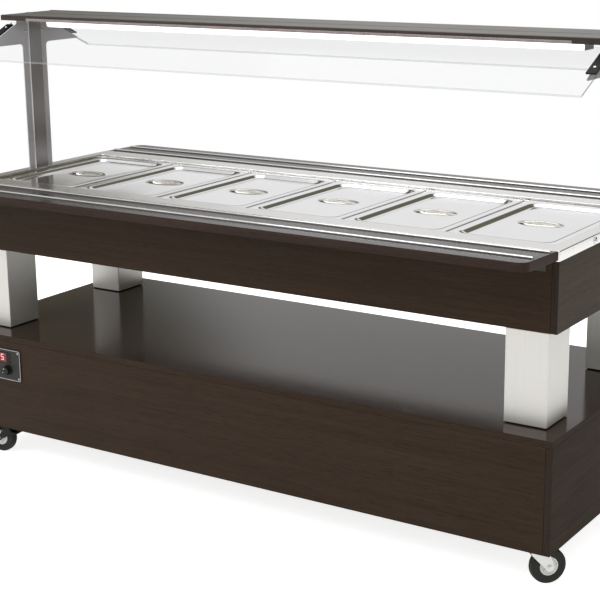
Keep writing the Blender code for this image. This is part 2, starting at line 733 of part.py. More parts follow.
def build_roof():
    """Roof board with a low ridge, and the lamp under it."""
    edge = ROOF_BOTTOM + ROOF_EDGE
    outline = [(-ROOF_HALF_WIDTH, ROOF_BOTTOM), (ROOF_HALF_WIDTH, ROOF_BOTTOM), (ROOF_HALF_WIDTH, edge),
               (0.0, edge + ROOF_RISE), (-ROOF_HALF_WIDTH, edge)]
    roof = prism(outline, lambda a, b, t: (-ROOF_HALF_LENGTH + t, a, b), 2 * ROOF_HALF_LENGTH)
    add_object("roof_board", roof, "wenge")
    top = ROOF_BOTTOM - GAP
    bottom = top - LAMP_HEIGHT
    side = LAMP_HALF_WIDTH
    flat = LAMP_HALF_WIDTH - LAMP_CHAMFER
    shoulder = bottom + LAMP_CHAMFER
    lamp = [(-side, top), (-side, shoulder), (-flat, bottom), (flat, bottom), (side, shoulder), (side, top)]
    mesh = prism(lamp, lambda a, b, t: (-LAMP_HALF_LENGTH + t, a, b), 2 * LAMP_HALF_LENGTH)
    add_object("lamp", mesh, "lamp")


def build_glass():
    for side, word in ((-1, "front"), (1, "rear")):
        outline = [(GLASS_INNER_Y, glass_top(GLASS_INNER_Y)), (GLASS_OUTER_Y, glass_top(GLASS_OUTER_Y)),
                   (GLASS_OUTER_Y, glass_under(GLASS_OUTER_Y)), (GLASS_INNER_Y, glass_under(GLASS_INNER_Y))]
        mesh = prism(
            outline, lambda a, b, t: (-GLASS_HALF_LENGTH + t, side * a, b), 2 * GLASS_HALF_LENGTH)
        add_object(f"{word}_glass", mesh, "glass")


# ---------------------------------------------------------------- controls


def build_controls():
    """Sheet-metal control box with its face plate, and the pieces set into the plate."""
    left = CONTROL_RIGHT - CONTROL_WIDTH
    top = CONTROL_BOTTOM + CONTROL_HEIGHT
    back = -BASE_HALF_WIDTH - GAP
    front = back - CONTROL_PROUD
    plate = cuboid((left, front, CONTROL_BOTTOM), (CONTROL_RIGHT, back, top))
    margin = CONTROL_FLANGE
    shell = cuboid(
        (left + margin, back - 0.001, CONTROL_BOTTOM + margin),
        (CONTROL_RIGHT - margin, back + CONTROL_BOX_DEPTH, top - margin))
    wall = margin + CONTROL_SHEET
    hollow = cuboid(
        (left + wall, back, CONTROL_BOTTOM + wall),
        (CONTROL_RIGHT - wall, back + CONTROL_BOX_DEPTH - CONTROL_SHEET, top - wall))
    window = cuboid((DISPLAY_LEFT, front - 0.01, DISPLAY_BOTTOM), (DISPLAY_RIGHT, back + 0.01, DISPLAY_TOP))
    hole_x = SWITCH_WIDTH / 2 + SWITCH_CLEARANCE
    hole_z = SWITCH_HEIGHT / 2 + SWITCH_CLEARANCE
    switch_hole = cuboid(
        (SWITCH_X - hole_x, front - 0.01, SWITCH_Z - hole_z),
        (SWITCH_X + hole_x, back + 0.01, SWITCH_Z + hole_z))
    shaft_hole = cylinder(
        (KNOB_X, front - 0.01, KNOB_Z), (KNOB_X, back + 0.01, KNOB_Z), KNOB_SHAFT_RADIUS + 0.0005, 16)
    box = combine(plate, [
        ("UNION", shell), ("DIFFERENCE", hollow), ("DIFFERENCE", window),
        ("DIFFERENCE", switch_hole), ("DIFFERENCE", shaft_hole)])
    add_object("control_box", box, "dark_panel")
    display = cuboid(
        (DISPLAY_LEFT + GAP, front - 0.001, DISPLAY_BOTTOM + GAP),
        (DISPLAY_RIGHT - GAP, back + DISPLAY_DEPTH, DISPLAY_TOP - GAP))
    add_object("temperature_display", display, "display")
    build_knob(front)
    build_switch(front)


def build_knob(front):
    """Thermostat knob with its shaft through the plate."""
    seat = front - 0.0005
    origin = (KNOB_X, seat, KNOB_Z)
    pivot = add_pivot("thermostat_axis", origin)

    def at(depth):
        return (KNOB_X, seat + depth, KNOB_Z)

    skirt = cylinder(at(0.0), at(-KNOB_SKIRT), KNOB_RADIUS, 28)
    grip = cylinder(at(-KNOB_SKIRT + 0.001), at(-KNOB_LENGTH), KNOB_RADIUS * 0.82, 28, KNOB_RADIUS * 0.74)
    shaft = cylinder(at(-0.002), at(KNOB_SHAFT_LENGTH), KNOB_SHAFT_RADIUS, 12)
    knob = combine(skirt, [("UNION", grip), ("UNION", shaft)])
    add_object("thermostat_knob", knob, "black_plastic", origin, pivot, smooth=True)


def build_switch(front):
    """Rocker of the power switch, turning about a horizontal axis behind the plate."""
    origin = (SWITCH_X, front + 0.002, SWITCH_Z)
    pivot = add_pivot("power_switch_axis", origin)
    half = SWITCH_HEIGHT / 2
    outline = [(-half, -0.0045), (0.0, -0.0035), (half, -0.0045), (half, -0.001), (half * 0.7, 0.008),
               (-half * 0.7, 0.008), (-half, -0.001)]
    start = SWITCH_X - SWITCH_WIDTH / 2
    mesh = prism(outline, lambda a, b, t: (start + t, origin[1] + b, SWITCH_Z + a), SWITCH_WIDTH)
    add_object("power_switch", mesh, "black_plastic", origin, pivot)


def build_cable_gland():
    """Strain-relief gland on the base rear panel, where the supply cable enters."""
    face = BASE_HALF_WIDTH + GAP

    def at(depth):
        return (GLAND_X, face + depth, GLAND_Z)

    nut = cylinder(at(0.0), at(GLAND_NUT_LENGTH), GLAND_NUT_RADIUS, 6)
    dome = cylinder(at(GLAND_NUT_LENGTH - 0.001), at(GLAND_LENGTH), GLAND_DOME_RADIUS, 16, GLAND_TIP_RADIUS)
    bore = cylinder(at(GLAND_NUT_LENGTH - 0.004), at(GLAND_LENGTH + 0.012), GLAND_BORE_RADIUS, 12)
    gland = combine(nut, [("UNION", dome), ("DIFFERENCE", bore)])
    add_object("cable_gland", gland, "black_plastic", smooth=True)


# ---------------------------------------------------------------- casters


def fork_leg_outline():
    """Side view of a caster leg as (distance behind the swivel axis, height)."""
    outline = [(-0.020, FORK_SHOULDER), (-0.018, FORK_SHOULDER - 0.012)]
    outline += arc((TRAIL, WHEEL_RADIUS), 0.012, 215, 375, 7)
    outline += [(0.040, 0.076), (0.024, FORK_SHOULDER)]
    return outline


def build_caster(row, side_x, side_y, heading):
    """Swivel fork and wheel. heading is the direction in which the wheel trails, in degrees."""
    word = "left" if side_x < 0 else "right"
    name = f"{row}_{word}"
    place = Matrix.Translation((side_x * CASTER_X[side_x], side_y * CASTER_Y, 0.0))
    place = place @ Matrix.Rotation(math.radians(heading), 4, "Z")
    swivel_origin = place @ Vector((0, 0, FORK_TOP))
    swivel = add_pivot(f"{name}_swivel", swivel_origin)

    legs = prism(fork_leg_outline(), lambda a, b, t: (a, -LEG_OUTER + t, b), 2 * LEG_OUTER)
    slot = cuboid((-0.1, -LEG_INNER, -0.1), (0.2, LEG_INNER, FORK_INSIDE_TOP))
    crown = cylinder((0, 0, FORK_SHOULDER - 0.002), (0, 0, FORK_TOP), CROWN_RADIUS, 20)
    axle = cylinder(
        (TRAIL, -AXLE_HALF_LENGTH, WHEEL_RADIUS), (TRAIL, AXLE_HALF_LENGTH, WHEEL_RADIUS), AXLE_RADIUS, 12)
    fork = combine(legs, [("DIFFERENCE", slot), ("UNION", crown), ("UNION", axle)])
    fork.transform(place)
    add_object(f"{name}_fork", fork, "zinc", swivel_origin, swivel, smooth=True)

    wheel_origin = place @ Vector((TRAIL, 0, WHEEL_RADIUS))
    wheel_pivot = add_pivot(f"{name}_wheel_axis", wheel_origin, swivel)
    bore = AXLE_RADIUS + 0.0005
    half = WHEEL_HALF_WIDTH
    tread = half * 0.55
    profile = [(bore, -half), (HUB_RADIUS, -half), (TYRE_SHOULDER_RADIUS, -half), (WHEEL_RADIUS, -tread),
               (WHEEL_RADIUS, tread), (TYRE_SHOULDER_RADIUS, half), (HUB_RADIUS, half), (bore, half)]
    wheel = turned(profile, (TRAIL, 0, WHEEL_RADIUS), (0, 1, 0), 24)
    wheel.transform(place)
    add_object(f"{name}_wheel", wheel, "rubber", wheel_origin, wheel_pivot, smooth=True)

    if word == "left":
        build_brake_pedal(name, place, wheel_origin, swivel)


def polar_outline(points):
    """Outline from (radius, degrees) about the axle, in a caster's side view."""
    outline = []
    for radius, degrees in points:
        angle = math.radians(degrees)
        outline.append((TRAIL + radius * math.cos(angle), WHEEL_RADIUS + radius * math.sin(angle)))
    return outline


def build_brake_pedal(name, place, wheel_origin, swivel):
    """Pedal over the trailing side of the wheel, on ears that turn about the axle."""
    ear_inner = LEG_OUTER + 0.0004
    ear_outer = ear_inner + PEDAL_EAR
    under = PEDAL_REACH
    over = PEDAL_REACH + PEDAL_THICKNESS
    pedal_outline = polar_outline(
        [(under, 52), (under, 36), (under, 18), (PEDAL_TIP, 16), (PEDAL_TIP, 22), (over, 36), (over, 52)])
    plate = prism(pedal_outline, lambda a, b, t: (a, -ear_outer + t, b), 2 * ear_outer)
    ear_end = PEDAL_REACH + 0.002
    ear_outline = polar_outline(
        [(PEDAL_EAR_RADIUS, 100), (PEDAL_EAR_RADIUS, 190), (PEDAL_EAR_RADIUS, 280), (PEDAL_EAR_RADIUS, 350),
         (ear_end, 20), (ear_end, 36), (ear_end, 50)])
    steps = []
    for side in (-1, 1):
        start = side * ear_inner
        ear = prism(ear_outline, lambda a, b, t: (a, start + side * t, b), PEDAL_EAR)
        bore_start = (TRAIL, start - side * 0.003, WHEEL_RADIUS)
        bore_end = (TRAIL, start + side * 0.006, WHEEL_RADIUS)
        bore = cylinder(bore_start, bore_end, AXLE_RADIUS + 0.0004, 12)
        steps.append(("UNION", ear))
        steps.append(("DIFFERENCE", bore))
    pedal = combine(plate, steps)
    pedal.transform(place)
    pivot = add_pivot(f"{name}_brake_axis", wheel_origin, swivel)
    add_object(f"{name}_brake_pedal", pedal, "black_plastic", wheel_origin, pivot)


def build_casters():
    headings = {("front", -1): 8.0, ("front", 1): 48.0, ("rear", -1): 20.0, ("rear", 1): 125.0}
    for row, side_y in (("front", -1), ("rear", 1)):
        for side_x in (-1, 1):
            build_caster(row, side_x, side_y, headings[(row, side_x)])


# ---------------------------------------------------------------- whole object

build_base()
build_pillars()
build_box()
build_well()
build_heating_element()
build_pans_and_lids()
build_drain_valve()
build_slides()
build_uprights()
build_roof()
build_glass()
build_controls()
build_cable_gland()
build_casters()
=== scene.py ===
"""Looks for the mobile heated buffet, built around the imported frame.

Metres, +Z up, +X along the length, -Y towards the customer side that holds the controls.
Every piece is modelled in place, so at rest its object coordinates are world coordinates.
"""

import json
from math import atan, cos, degrees, pi, radians, sin, tan

import bmesh
import bpy
from mathutils import Matrix, Vector

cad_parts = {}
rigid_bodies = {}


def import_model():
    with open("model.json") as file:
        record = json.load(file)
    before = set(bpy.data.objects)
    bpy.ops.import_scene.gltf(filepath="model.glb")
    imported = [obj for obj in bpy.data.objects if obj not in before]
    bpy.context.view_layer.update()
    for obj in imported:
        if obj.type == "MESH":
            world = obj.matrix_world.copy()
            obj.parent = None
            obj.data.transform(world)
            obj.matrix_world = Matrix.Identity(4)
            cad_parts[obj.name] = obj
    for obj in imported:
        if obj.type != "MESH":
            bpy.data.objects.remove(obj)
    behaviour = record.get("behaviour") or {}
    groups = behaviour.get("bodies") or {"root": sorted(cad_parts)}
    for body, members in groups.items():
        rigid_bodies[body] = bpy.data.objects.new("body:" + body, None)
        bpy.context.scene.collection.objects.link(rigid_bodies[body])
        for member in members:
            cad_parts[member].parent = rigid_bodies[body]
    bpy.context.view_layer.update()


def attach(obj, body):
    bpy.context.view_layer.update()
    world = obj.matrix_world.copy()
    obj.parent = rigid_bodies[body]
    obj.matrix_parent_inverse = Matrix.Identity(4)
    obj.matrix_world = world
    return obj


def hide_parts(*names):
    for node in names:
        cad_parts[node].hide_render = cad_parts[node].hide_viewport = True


for leftover in list(bpy.data.objects):
    bpy.data.objects.remove(leftover)

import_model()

CORNERS = ("front_left", "front_right", "rear_left", "rear_right")
ENDS = ((-1, "left"), (1, "right"))
ROWS = ((-1, "front"), (1, "rear"))
PAN_COUNT = 6
WHITE = (1.0, 1.0, 1.0, 1.0)


def link_object(name, data):
    item = bpy.data.objects.new(name, data)
    bpy.context.scene.collection.objects.link(item)
    return item


def to_mesh(name, bm):
    """Turn a bmesh into a mesh and free it."""
    mesh = bpy.data.meshes.new(name)
    bm.to_mesh(mesh)
    bm.free()
    return mesh


def add_node(tree, kind, inputs, **settings):
    """Add a shader node whose inputs are given as values or as outputs of other nodes."""
    node = tree.nodes.new("ShaderNode" + kind)
    for key, value in settings.items():
        setattr(node, key, value)
    for key, value in inputs.items():
        if isinstance(value, bpy.types.NodeSocket):
            tree.links.new(value, node.inputs[key])
        else:
            node.inputs[key].default_value = value
    return node.outputs


# ---- camera, floor and light

CAMERA_PLACE = (2.488, -3.739, 1.735)
CAMERA_YAW = -0.583  # turned left of the +Y direction, as seen from above
CAMERA_PITCH = -0.257
CAMERA_ROLL = -0.012
CAMERA_LENS = 89.93  # millimetres
SENSOR_WIDTH = 36.0

# Dark flags that only reflections see: bearing from +Y towards +X, height, core and edge, in degrees.
FLAGS = ((36, 14, 24, 44), (6, 36, 15, 26), (-53, 23, 14.5, 18.5))
FLAG_COLOR = (0.165, 0.152, 0.112, 1.0)
# Half heights, as sines, of the dark line where the studio wall meets the floor.
HORIZON_CORE = 0.06
HORIZON_EDGE = 0.15
STUDIO_LEVEL = 0.92  # brightness of the studio in reflections and as light
FLOOR_RADIUS = 5.0
FLOOR_GREY = 0.8
FLOOR_GLOW = (0.5, 0.8)  # as light on the object, and as the camera sees it


def build_camera():
    data = bpy.data.cameras.new("camera")
    data.lens = CAMERA_LENS
    data.sensor_width = SENSOR_WIDTH
    camera = link_object("camera", data)
    heading = Matrix.Rotation(-CAMERA_YAW, 4, "Z")
    tilt = Matrix.Rotation(pi / 2 + CAMERA_PITCH, 4, "X")
    roll = Matrix.Rotation(CAMERA_ROLL, 4, "Z")
    camera.matrix_world = Matrix.Translation(CAMERA_PLACE) @ heading @ tilt @ roll
    bpy.context.scene.camera = camera


def build_world():
    """White studio all round, with dark flags and a dark horizon that direct view does not show."""
    world = bpy.data.worlds.new("studio")
    bpy.context.scene.world = world
    world.use_nodes = True
    tree = world.node_tree
    tree.nodes.clear()
    around = add_node(tree, "TexCoord", {})["Generated"]

    def fade(value, clear, dark):
        limits = {"Value": value, "From Min": clear, "From Max": dark}
        return add_node(tree, "MapRange", limits, interpolation_type="SMOOTHSTEP")["Result"]

    upward = add_node(tree, "SeparateXYZ", {"Vector": around})["Z"]
    from_horizon = add_node(tree, "Math", {0: upward}, operation="ABSOLUTE")["Value"]
    shade = fade(from_horizon, HORIZON_EDGE, HORIZON_CORE)
    for bearing, height, core, edge in FLAGS:
        turn = radians(bearing)
        rise = radians(height)
        aim = (sin(turn) * cos(rise), cos(turn) * cos(rise), sin(rise))
        toward = add_node(tree, "VectorMath", {0: around, 1: aim}, operation="DOT_PRODUCT")["Value"]
        flag = fade(toward, cos(radians(edge)), cos(radians(core)))
        shade = add_node(tree, "Math", {0: shade, 1: flag}, operation="MAXIMUM")["Value"]
    colors = {"Factor": shade, "A": WHITE, "B": FLAG_COLOR}
    studio = add_node(tree, "Mix", colors, data_type="RGBA")["Result"]
    unseen = add_node(tree, "Background", {"Color": studio, "Strength": STUDIO_LEVEL})["Background"]
    seen = add_node(tree, "Background", {"Color": WHITE})["Background"]
    direct = add_node(tree, "LightPath", {})["Is Camera Ray"]
    both = add_node(tree, "MixShader", {"Fac": direct, 1: unseen, 2: seen})["Shader"]
    add_node(tree, "OutputWorld", {"Surface": both})


def build_floor():
    """Pale studio floor, lit until it is nearly white and keeps only a faint shadow."""
    bm = bmesh.new()
    bmesh.ops.create_circle(bm, cap_ends=True, segments=96, radius=FLOOR_RADIUS)
    floor = link_object("floor", to_mesh("floor", bm))
    look = Look("pale_floor", Base_Color=(FLOOR_GREY, FLOOR_GREY, FLOOR_GREY, 1.0), Roughness=0.9,
                Specular_IOR_Level=0.0, Emission_Color=WHITE)
    direct = add_node(look.tree, "LightPath", {})["Is Camera Ray"]
    look.join(look.remap(direct, *FLOOR_GLOW, 0.0, 1.0), "Emission Strength")
    floor.data.materials.append(look.material)


def area_light(name, place, aim, size, power):
    data = bpy.data.lights.new(name, "AREA")
    data.shape = "RECTANGLE"
    data.size, data.size_y = size
    data.energy = power
    light = link_object(name, data)
    light.location = place
    light.rotation_euler = (Vector(aim) - Vector(place)).to_track_quat("-Z", "Y").to_euler()


def build_stage():
    build_camera()
    build_world()
    build_floor()
    area_light("key_softbox", (-2.6, -3.4, 3.6), (0, 0, 0.7), (2.4, 2.4), 70)
    area_light("top_softbox", (0, 0.6, 4.0), (0, 0, 0.6), (4.0, 2.4), 60)
    bpy.context.scene.view_settings.view_transform = "Standard"


# ---- materials

EVEN = (1.0, 1.0, 1.0)  # texture stretch that is the same along every axis


def scaled(color, factor):
    return tuple(min(1.0, c * factor) for c in color)


def along(axis, slow):
    """Texture stretch that changes slowly along one axis."""
    return tuple(slow if index == axis else 1.0 for index in range(3))


class Look:
    """One procedural material. Short calls add its nodes and join them to the shader."""

    def __init__(self, name, **constants):
        self.material = bpy.data.materials.new(name)
        self.material.use_nodes = True
        self.tree = self.material.node_tree
        self.shader = self.tree.nodes["Principled BSDF"]
        for key, value in constants.items():
            self.shader.inputs[key.replace("_", " ")].default_value = value

    def join(self, output, socket):
        self.tree.links.new(output, self.shader.inputs[socket])

    def noise(self, stretch, scale, detail=3.0, roughness=0.55):
        place = add_node(self.tree, "TexCoord", {})["Object"]
        place = add_node(self.tree, "Mapping", {"Vector": place, "Scale": stretch})["Vector"]
        settings = {"Vector": place, "Scale": scale, "Detail": detail, "Roughness": roughness}
        return add_node(self.tree, "TexNoise", settings)["Fac"]

    def ramp(self, factor, *stops):
        output = add_node(self.tree, "ValToRGB", {"Fac": factor})["Color"]
        for element, (place, color) in zip(output.node.color_ramp.elements, stops):
            element.position = place
            element.color = (*color, 1.0)
        return output

    def remap(self, value, low, high, from_low=0.3, from_high=0.7):
        limits = {"Value": value, "From Min": from_low, "From Max": from_high}
        limits.update({"To Min": low, "To Max": high})
        return add_node(self.tree, "MapRange", limits)["Result"]

    def mixed(self, first, second, factor=0.5, blend="MIX"):
        inputs = {"Factor": factor, "A": first, "B": second}
        return add_node(self.tree, "Mix", inputs, data_type="RGBA", blend_type=blend)["Result"]

    def bump(self, *heights):
        """Stack bumps of (height output, depth in metres)."""
        inputs = {"Strength": 1.0}
        for height, depth in heights:
            inputs.update({"Height": height, "Distance": depth})
            inputs["Normal"] = add_node(self.tree, "Bump", inputs)["Normal"]
        self.join(inputs["Normal"], "Normal")


def wenge(name, axis, dark, light, roughness, level, emboss=0.0001, tint=EVEN):
    """Dark wood-grain laminate. The grain runs along the axis, with fine pores embossed in it."""
    look = Look(name, Specular_IOR_Level=level, Specular_Tint=(*tint, 1.0))
    fibre = look.noise(along(axis, 0.018), 300, 4.0, 0.62)
    band = look.noise(along(axis, 0.03), 34)
    pore = look.noise(along(axis, 0.06), 520, 2.0, 0.5)
    cloud = look.noise(EVEN, 2.3, 2.0)
    fibre_color = look.ramp(fibre, (0.3, dark), (0.72, light))
    band_color = look.ramp(band, (0.25, scaled(dark, 0.86)), (0.75, scaled(light, 1.06)))
    color = look.mixed(fibre_color, band_color, 0.45)
    pores = look.ramp(pore, (0.36, (0.62, 0.6, 0.58)), (0.47, EVEN))
    clouds = look.ramp(cloud, (0.2, (0.9, 0.9, 0.9)), (0.8, (1.06, 1.05, 1.05)))
    color = look.mixed(color, pores, 0.75, "MULTIPLY")
    look.join(look.mixed(color, clouds, 1.0, "MULTIPLY"), "Base Color")
    look.join(look.remap(fibre, roughness + 0.05, roughness - 0.05), "Roughness")
    look.bump((fibre, emboss), (pore, emboss * 0.7))
    return look.material


def steel(name, color, roughness, axis, brush=0.05, wave=0.0, depth=0.00001, metal=1.0):
    """Stainless sheet, brushed along the axis, with faint stains and slow unevenness."""
    look = Look(name, Metallic=metal)
    streak = look.noise(along(axis, 0.012), 420)
    stain = look.noise(EVEN, 7.0, 4.0)
    tint = look.ramp(stain, (0.3, scaled(color, 0.965)), (0.7, scaled(color, 1.015)))
    lines = look.ramp(streak, (0.3, (0.955, 0.955, 0.955)), (0.7, EVEN))
    look.join(look.mixed(tint, lines, 1.0, "MULTIPLY"), "Base Color")
    spread = look.mixed(streak, stain, 0.45)
    look.join(look.remap(spread, max(0.02, roughness - brush), roughness + brush), "Roughness")
    sheet = look.noise(EVEN, 5.0, 1.0)
    look.bump((sheet, wave), (streak, depth))
    return look.material


def moulded(name, color, roughness, grain=900, depth=0.00004, level=0.5):
    """Moulded plastic or rubber with a fine matt grain."""
    look = Look(name, Specular_IOR_Level=level)
    fine = look.noise(EVEN, grain)
    dust = look.noise(EVEN, 35, 4.0)
    look.join(look.ramp(dust, (0.3, scaled(color, 0.85)), (0.75, scaled(color, 1.2))), "Base Color")
    look.join(look.remap(fine, roughness - 0.07, roughness + 0.07), "Roughness")
    look.bump((fine, depth))
    return look.material


def glowing(name, color, strength, pattern=60):
    """A lit diffuser, slightly uneven."""
    look = Look(name, Emission_Strength=strength)
    haze = look.noise(EVEN, pattern, 2.0)
    shade = look.ramp(haze, (0.2, scaled(color, 0.93)), (0.8, color))
    look.join(shade, "Base Color")
    look.join(shade, "Emission Color")
    look.join(look.remap(haze, 0.3, 0.5), "Roughness")
    look.bump((haze, 0.00002))
    return look.material


def glass_look(name, color, alpha, roughness=0.03):
    look = Look(name, Alpha=alpha, IOR=1.5)
    film = look.noise(EVEN, 12)
    look.join(look.ramp(film, (0.3, scaled(color, 0.97)), (0.7, color)), "Base Color")
    look.join(look.remap(film, roughness, roughness + 0.05), "Roughness")
    look.bump((film, 0.00002))
    return look.material


WENGE_DARK = (0.021, 0.013, 0.008)
WENGE_LIGHT = (0.038, 0.0245, 0.016)
WARM = (1, 0.8, 0.64)  # tint of the sheen on the brown laminate

panel_x = wenge("wenge_panel_long", 0, WENGE_DARK, WENGE_LIGHT, 0.44, 0.12, 0.00006, WARM)
panel_y = wenge("wenge_panel_end", 1, WENGE_DARK, (0.034, 0.022, 0.0145), 0.5, 0.03, 0.00006, WARM)
# Painted light: the box ends are a lighter copy of the end laminate for the light falling from the right; the
# base ends keep the darker copy.
box_painted_light_end = wenge("wenge_box_painted_light_end", 1, (0.044, 0.033, 0.024), (0.064, 0.049, 0.036), 0.5, 0.06, 0.00006, WARM)
panel_edge = wenge("wenge_edge_band", 2, (0.019, 0.012, 0.0075), (0.031, 0.02, 0.0125), 0.45, 0.12)
top_gloss = wenge("wenge_top", 0, (0.028, 0.017, 0.012), (0.046, 0.03, 0.022), 0.13, 0.22, 0.00005, WARM)
# Painted sheen: the slide top is a greyer copy of its reddish edge laminate, for the grazing sheen.
slide_painted_sheen_top = wenge("wenge_slide_painted_sheen_top", 0, (0.024, 0.02, 0.019), (0.042, 0.036, 0.034), 0.22, 0.29, 0.00006)
slide_edge = wenge("wenge_slide_edge", 0, (0.024, 0.0135, 0.0095), (0.044, 0.027, 0.02), 0.42, 0.12)
roof_wood = wenge("wenge_roof", 0, (0.034, 0.026, 0.022), (0.078, 0.062, 0.056), 0.55, 0.12)
pillar_steel = steel("pillar_steel", (0.68, 0.665, 0.63), 0.4, 2, 0.05, 0.0002, 0.000003, 0.55)
deck_steel = steel("deck_steel", (0.78, 0.77, 0.755), 0.2, 0, 0.05, 0.0003)
lid_steel = steel("lid_steel", (0.8, 0.8, 0.81), 0.11, 0, 0.03, 0.0003)
# Painted shade: dark steel for the shadow lines and dark reflections along lid and pan rims and some lid
# folds.
rim_painted_shade_steel = steel("lid_rim_painted_shade_edge", (0.1, 0.095, 0.078), 0.35, 0)
# Painted shade: a darker, khaki copy of the lid steel for the grip pit and its strap.
pit_painted_shade_steel = steel("lid_pit_painted_shade_steel", (0.66, 0.64, 0.6), 0.24, 0, 0.03, 0.0003)
pan_steel = steel("pan_steel", (0.76, 0.75, 0.735), 0.15, 0, 0.04, 0.0002)
strip_steel = steel("strip_steel", (0.76, 0.75, 0.745), 0.14, 0, 0.03)
# Painted shade: the dark line of reflection under each strip's highlight.
strip_painted_shade_foot = steel("strip_painted_shade_foot", (0.09, 0.085, 0.085), 0.32, 0, 0.03)
plate_steel = steel("upright_plate_steel", (0.52, 0.51, 0.53), 0.34, 2, 0.05, 0.0002, 0.00001, 0.6)
# Painted light: the cover's face takes a darker copy and its edges a brighter copy of one steel, as painted
# shade and painted highlights.
cover_painted_shade_steel = steel("upright_cover_painted_shade_steel", (0.38, 0.36, 0.365), 0.24, 2, 0.03, 0.0001, 0.00001, 0.75)
cover_painted_highlight_edge = steel("upright_cover_painted_highlight_edge", (0.86, 0.85, 0.84), 0.2, 2, 0.03)
# Painted shade: the hinge steel is darkened for the shadow under the slide board.
hinge_steel = steel("hinge_steel", (0.045, 0.04, 0.035), 0.4, 0, 0.05, 0, 0.00001, 0.5)
screw_steel = steel("screw_steel", (0.76, 0.75, 0.74), 0.16, 0, 0.04)
zinc = steel("caster_zinc", (0.66, 0.66, 0.64), 0.36, 2, 0.08, 0, 0.00003)
element_steel = steel("element_steel", (0.2, 0.18, 0.165), 0.45, 0, 0.08, 0, 0.00003)
brass = steel("valve_brass", (0.66, 0.47, 0.21), 0.3, 2, 0.08, 0, 0.00003)
bezel_steel = steel("bezel_steel", (0.46, 0.44, 0.42), 0.3, 0)
roof_metal = steel("roof_profile", (0.165, 0.155, 0.145), 0.42, 0, 0.08)
tyre_rubber = moulded("caster_tyre", (0.012, 0.012, 0.009), 0.62, 600, 0.00006, 0.3)
hub_plastic = moulded("hub_plastic", (0.6, 0.6, 0.58), 0.38)
black_plastic = moulded("black_plastic", (0.006, 0.006, 0.006), 0.38, 900, 0.00003, 0.2)
clamp_plastic = moulded("clamp_plastic", (0.006, 0.006, 0.005), 0.5, 900, 0.00002, 0.12)
pedal_plastic = moulded("brake_plastic", (0.008, 0.008, 0.0075), 0.42, 900, 0.00003, 0.2)
control_paint = moulded("control_plate", (0.03, 0.03, 0.027), 0.46, 1500, 0.00003, 0.15)
marking_white = moulded("marking_white", (0.72, 0.73, 0.72), 0.5)
lens_plastic = moulded("led_lens", (0.3, 0.25, 0.25), 0.3)
lamp_light = glowing("lamp_diffuser", (1, 1, 1), 1.5)
display_red = glowing("display_window", (0.11, 0.004, 0.008), 0.35, 300)
digit_light = glowing("display_digits", (1, 0.42, 0.42), 0.85, 300)
glass_face = glass_look("screen_glass", (0.25, 0.26, 0.28), 0.06)
glass_lip = glass_look("screen_glass_lip", (0.42, 0.5, 0.46), 0.35, 0.12)
glass_side = glass_look("screen_glass_side", (0.16, 0.2, 0.18), 0.6, 0.12)

# ---- mesh tools


def piece(name, bm, looks, replaces=(), body="cart", smooth=35, thickness=0):
    """Turn a bmesh into a named piece of the object that rides on a CAD body."""
    bmesh.ops.recalc_face_normals(bm, faces=bm.faces)
    mesh = to_mesh(name, bm)
    mesh.shade_smooth()
    mesh.set_sharp_from_angle(angle=radians(smooth))
    for look in looks:
        mesh.materials.append(look)
    item = link_object(name, mesh)
    if thickness:
        sheet = item.modifiers.new("sheet thickness", "SOLIDIFY")
        sheet.thickness = thickness
        sheet.offset = -1
    even = item.modifiers.new("flat faces stay flat", "WEIGHTED_NORMAL")
    even.keep_sharp = True
    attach(item, body)
    if replaces:
        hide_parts(*replaces)


def turned(ring):
    """The same ring, starting one place further on."""
    return ring[1:] + ring[:1]


def mm(*rows):
    """Rows of millimetres, in metres."""
    return [tuple(value / 1000 for value in row) for row in rows]


def circle(radius, count):
    angles = [2 * pi * k / count for k in range(count)]
    return [(radius * cos(angle), radius * sin(angle)) for angle in angles]


def add_box(bm, corner, opposite, bevel=0.0008, segments=2, index=0, place=Matrix()):
    """A block with rounded edges between two opposite corners."""
    before = set(bm.faces)
    spans = [sorted(pair) for pair in zip(corner, opposite)]
    low, high = (Vector(end) for end in zip(*spans))
    size = high - low
    shape = Matrix.Translation((low + high) / 2) @ Matrix.Diagonal((*size, 1))
    made = bmesh.ops.create_cube(bm, size=1, matrix=shape)
    edges = list({edge for vert in made["verts"] for edge in vert.link_edges})
    bevel = min(bevel, 0.45 * min(size))
    bmesh.ops.bevel(bm, geom=edges, offset=bevel, segments=segments, profile=0.5, affect="EDGES")
    faces = [face for face in bm.faces if face not in before]
    for face in faces:
        face.material_index = index
    verts = list({vert for face in faces for vert in face.verts})
    bmesh.ops.transform(bm, matrix=place, verts=verts)


def add_rings(bm, rings, cap_first=True, cap_last=True, index=0):
    """Skin a row of equal rings of points."""
    loops = [[bm.verts.new(point) for point in ring] for ring in rings]
    faces = []
    for here, there in zip(loops, loops[1:]):
        faces += [bm.faces.new(corners) for corners in zip(here, turned(here), turned(there), there)]
    if cap_first:
        faces.append(bm.faces.new(loops[0][::-1]))
    if cap_last:
        faces.append(bm.faces.new(loops[-1]))
    for face in faces:
        face.material_index = index
    return loops, faces


def add_turned(bm, profile, place, segments=32):
    """Turn a profile of (radius, height) in millimetres about Z. A zero radius closes an end."""
    rings = []
    for radius, height in profile:
        points = circle(radius / 1000, segments) if radius else [(0, 0)]
        rings.append([bm.verts.new(place @ Vector((x, y, height / 1000))) for x, y in points])
    for here, there in zip(rings, rings[1:]):
        if len(here) == 1:
            bands = zip(here * segments, turned(there), there)
        elif len(there) == 1:
            bands = zip(here, turned(here), there * segments)
        else:
            bands = zip(here, turned(here), turned(there), there)
        for corners in bands:
            bm.faces.new(corners)


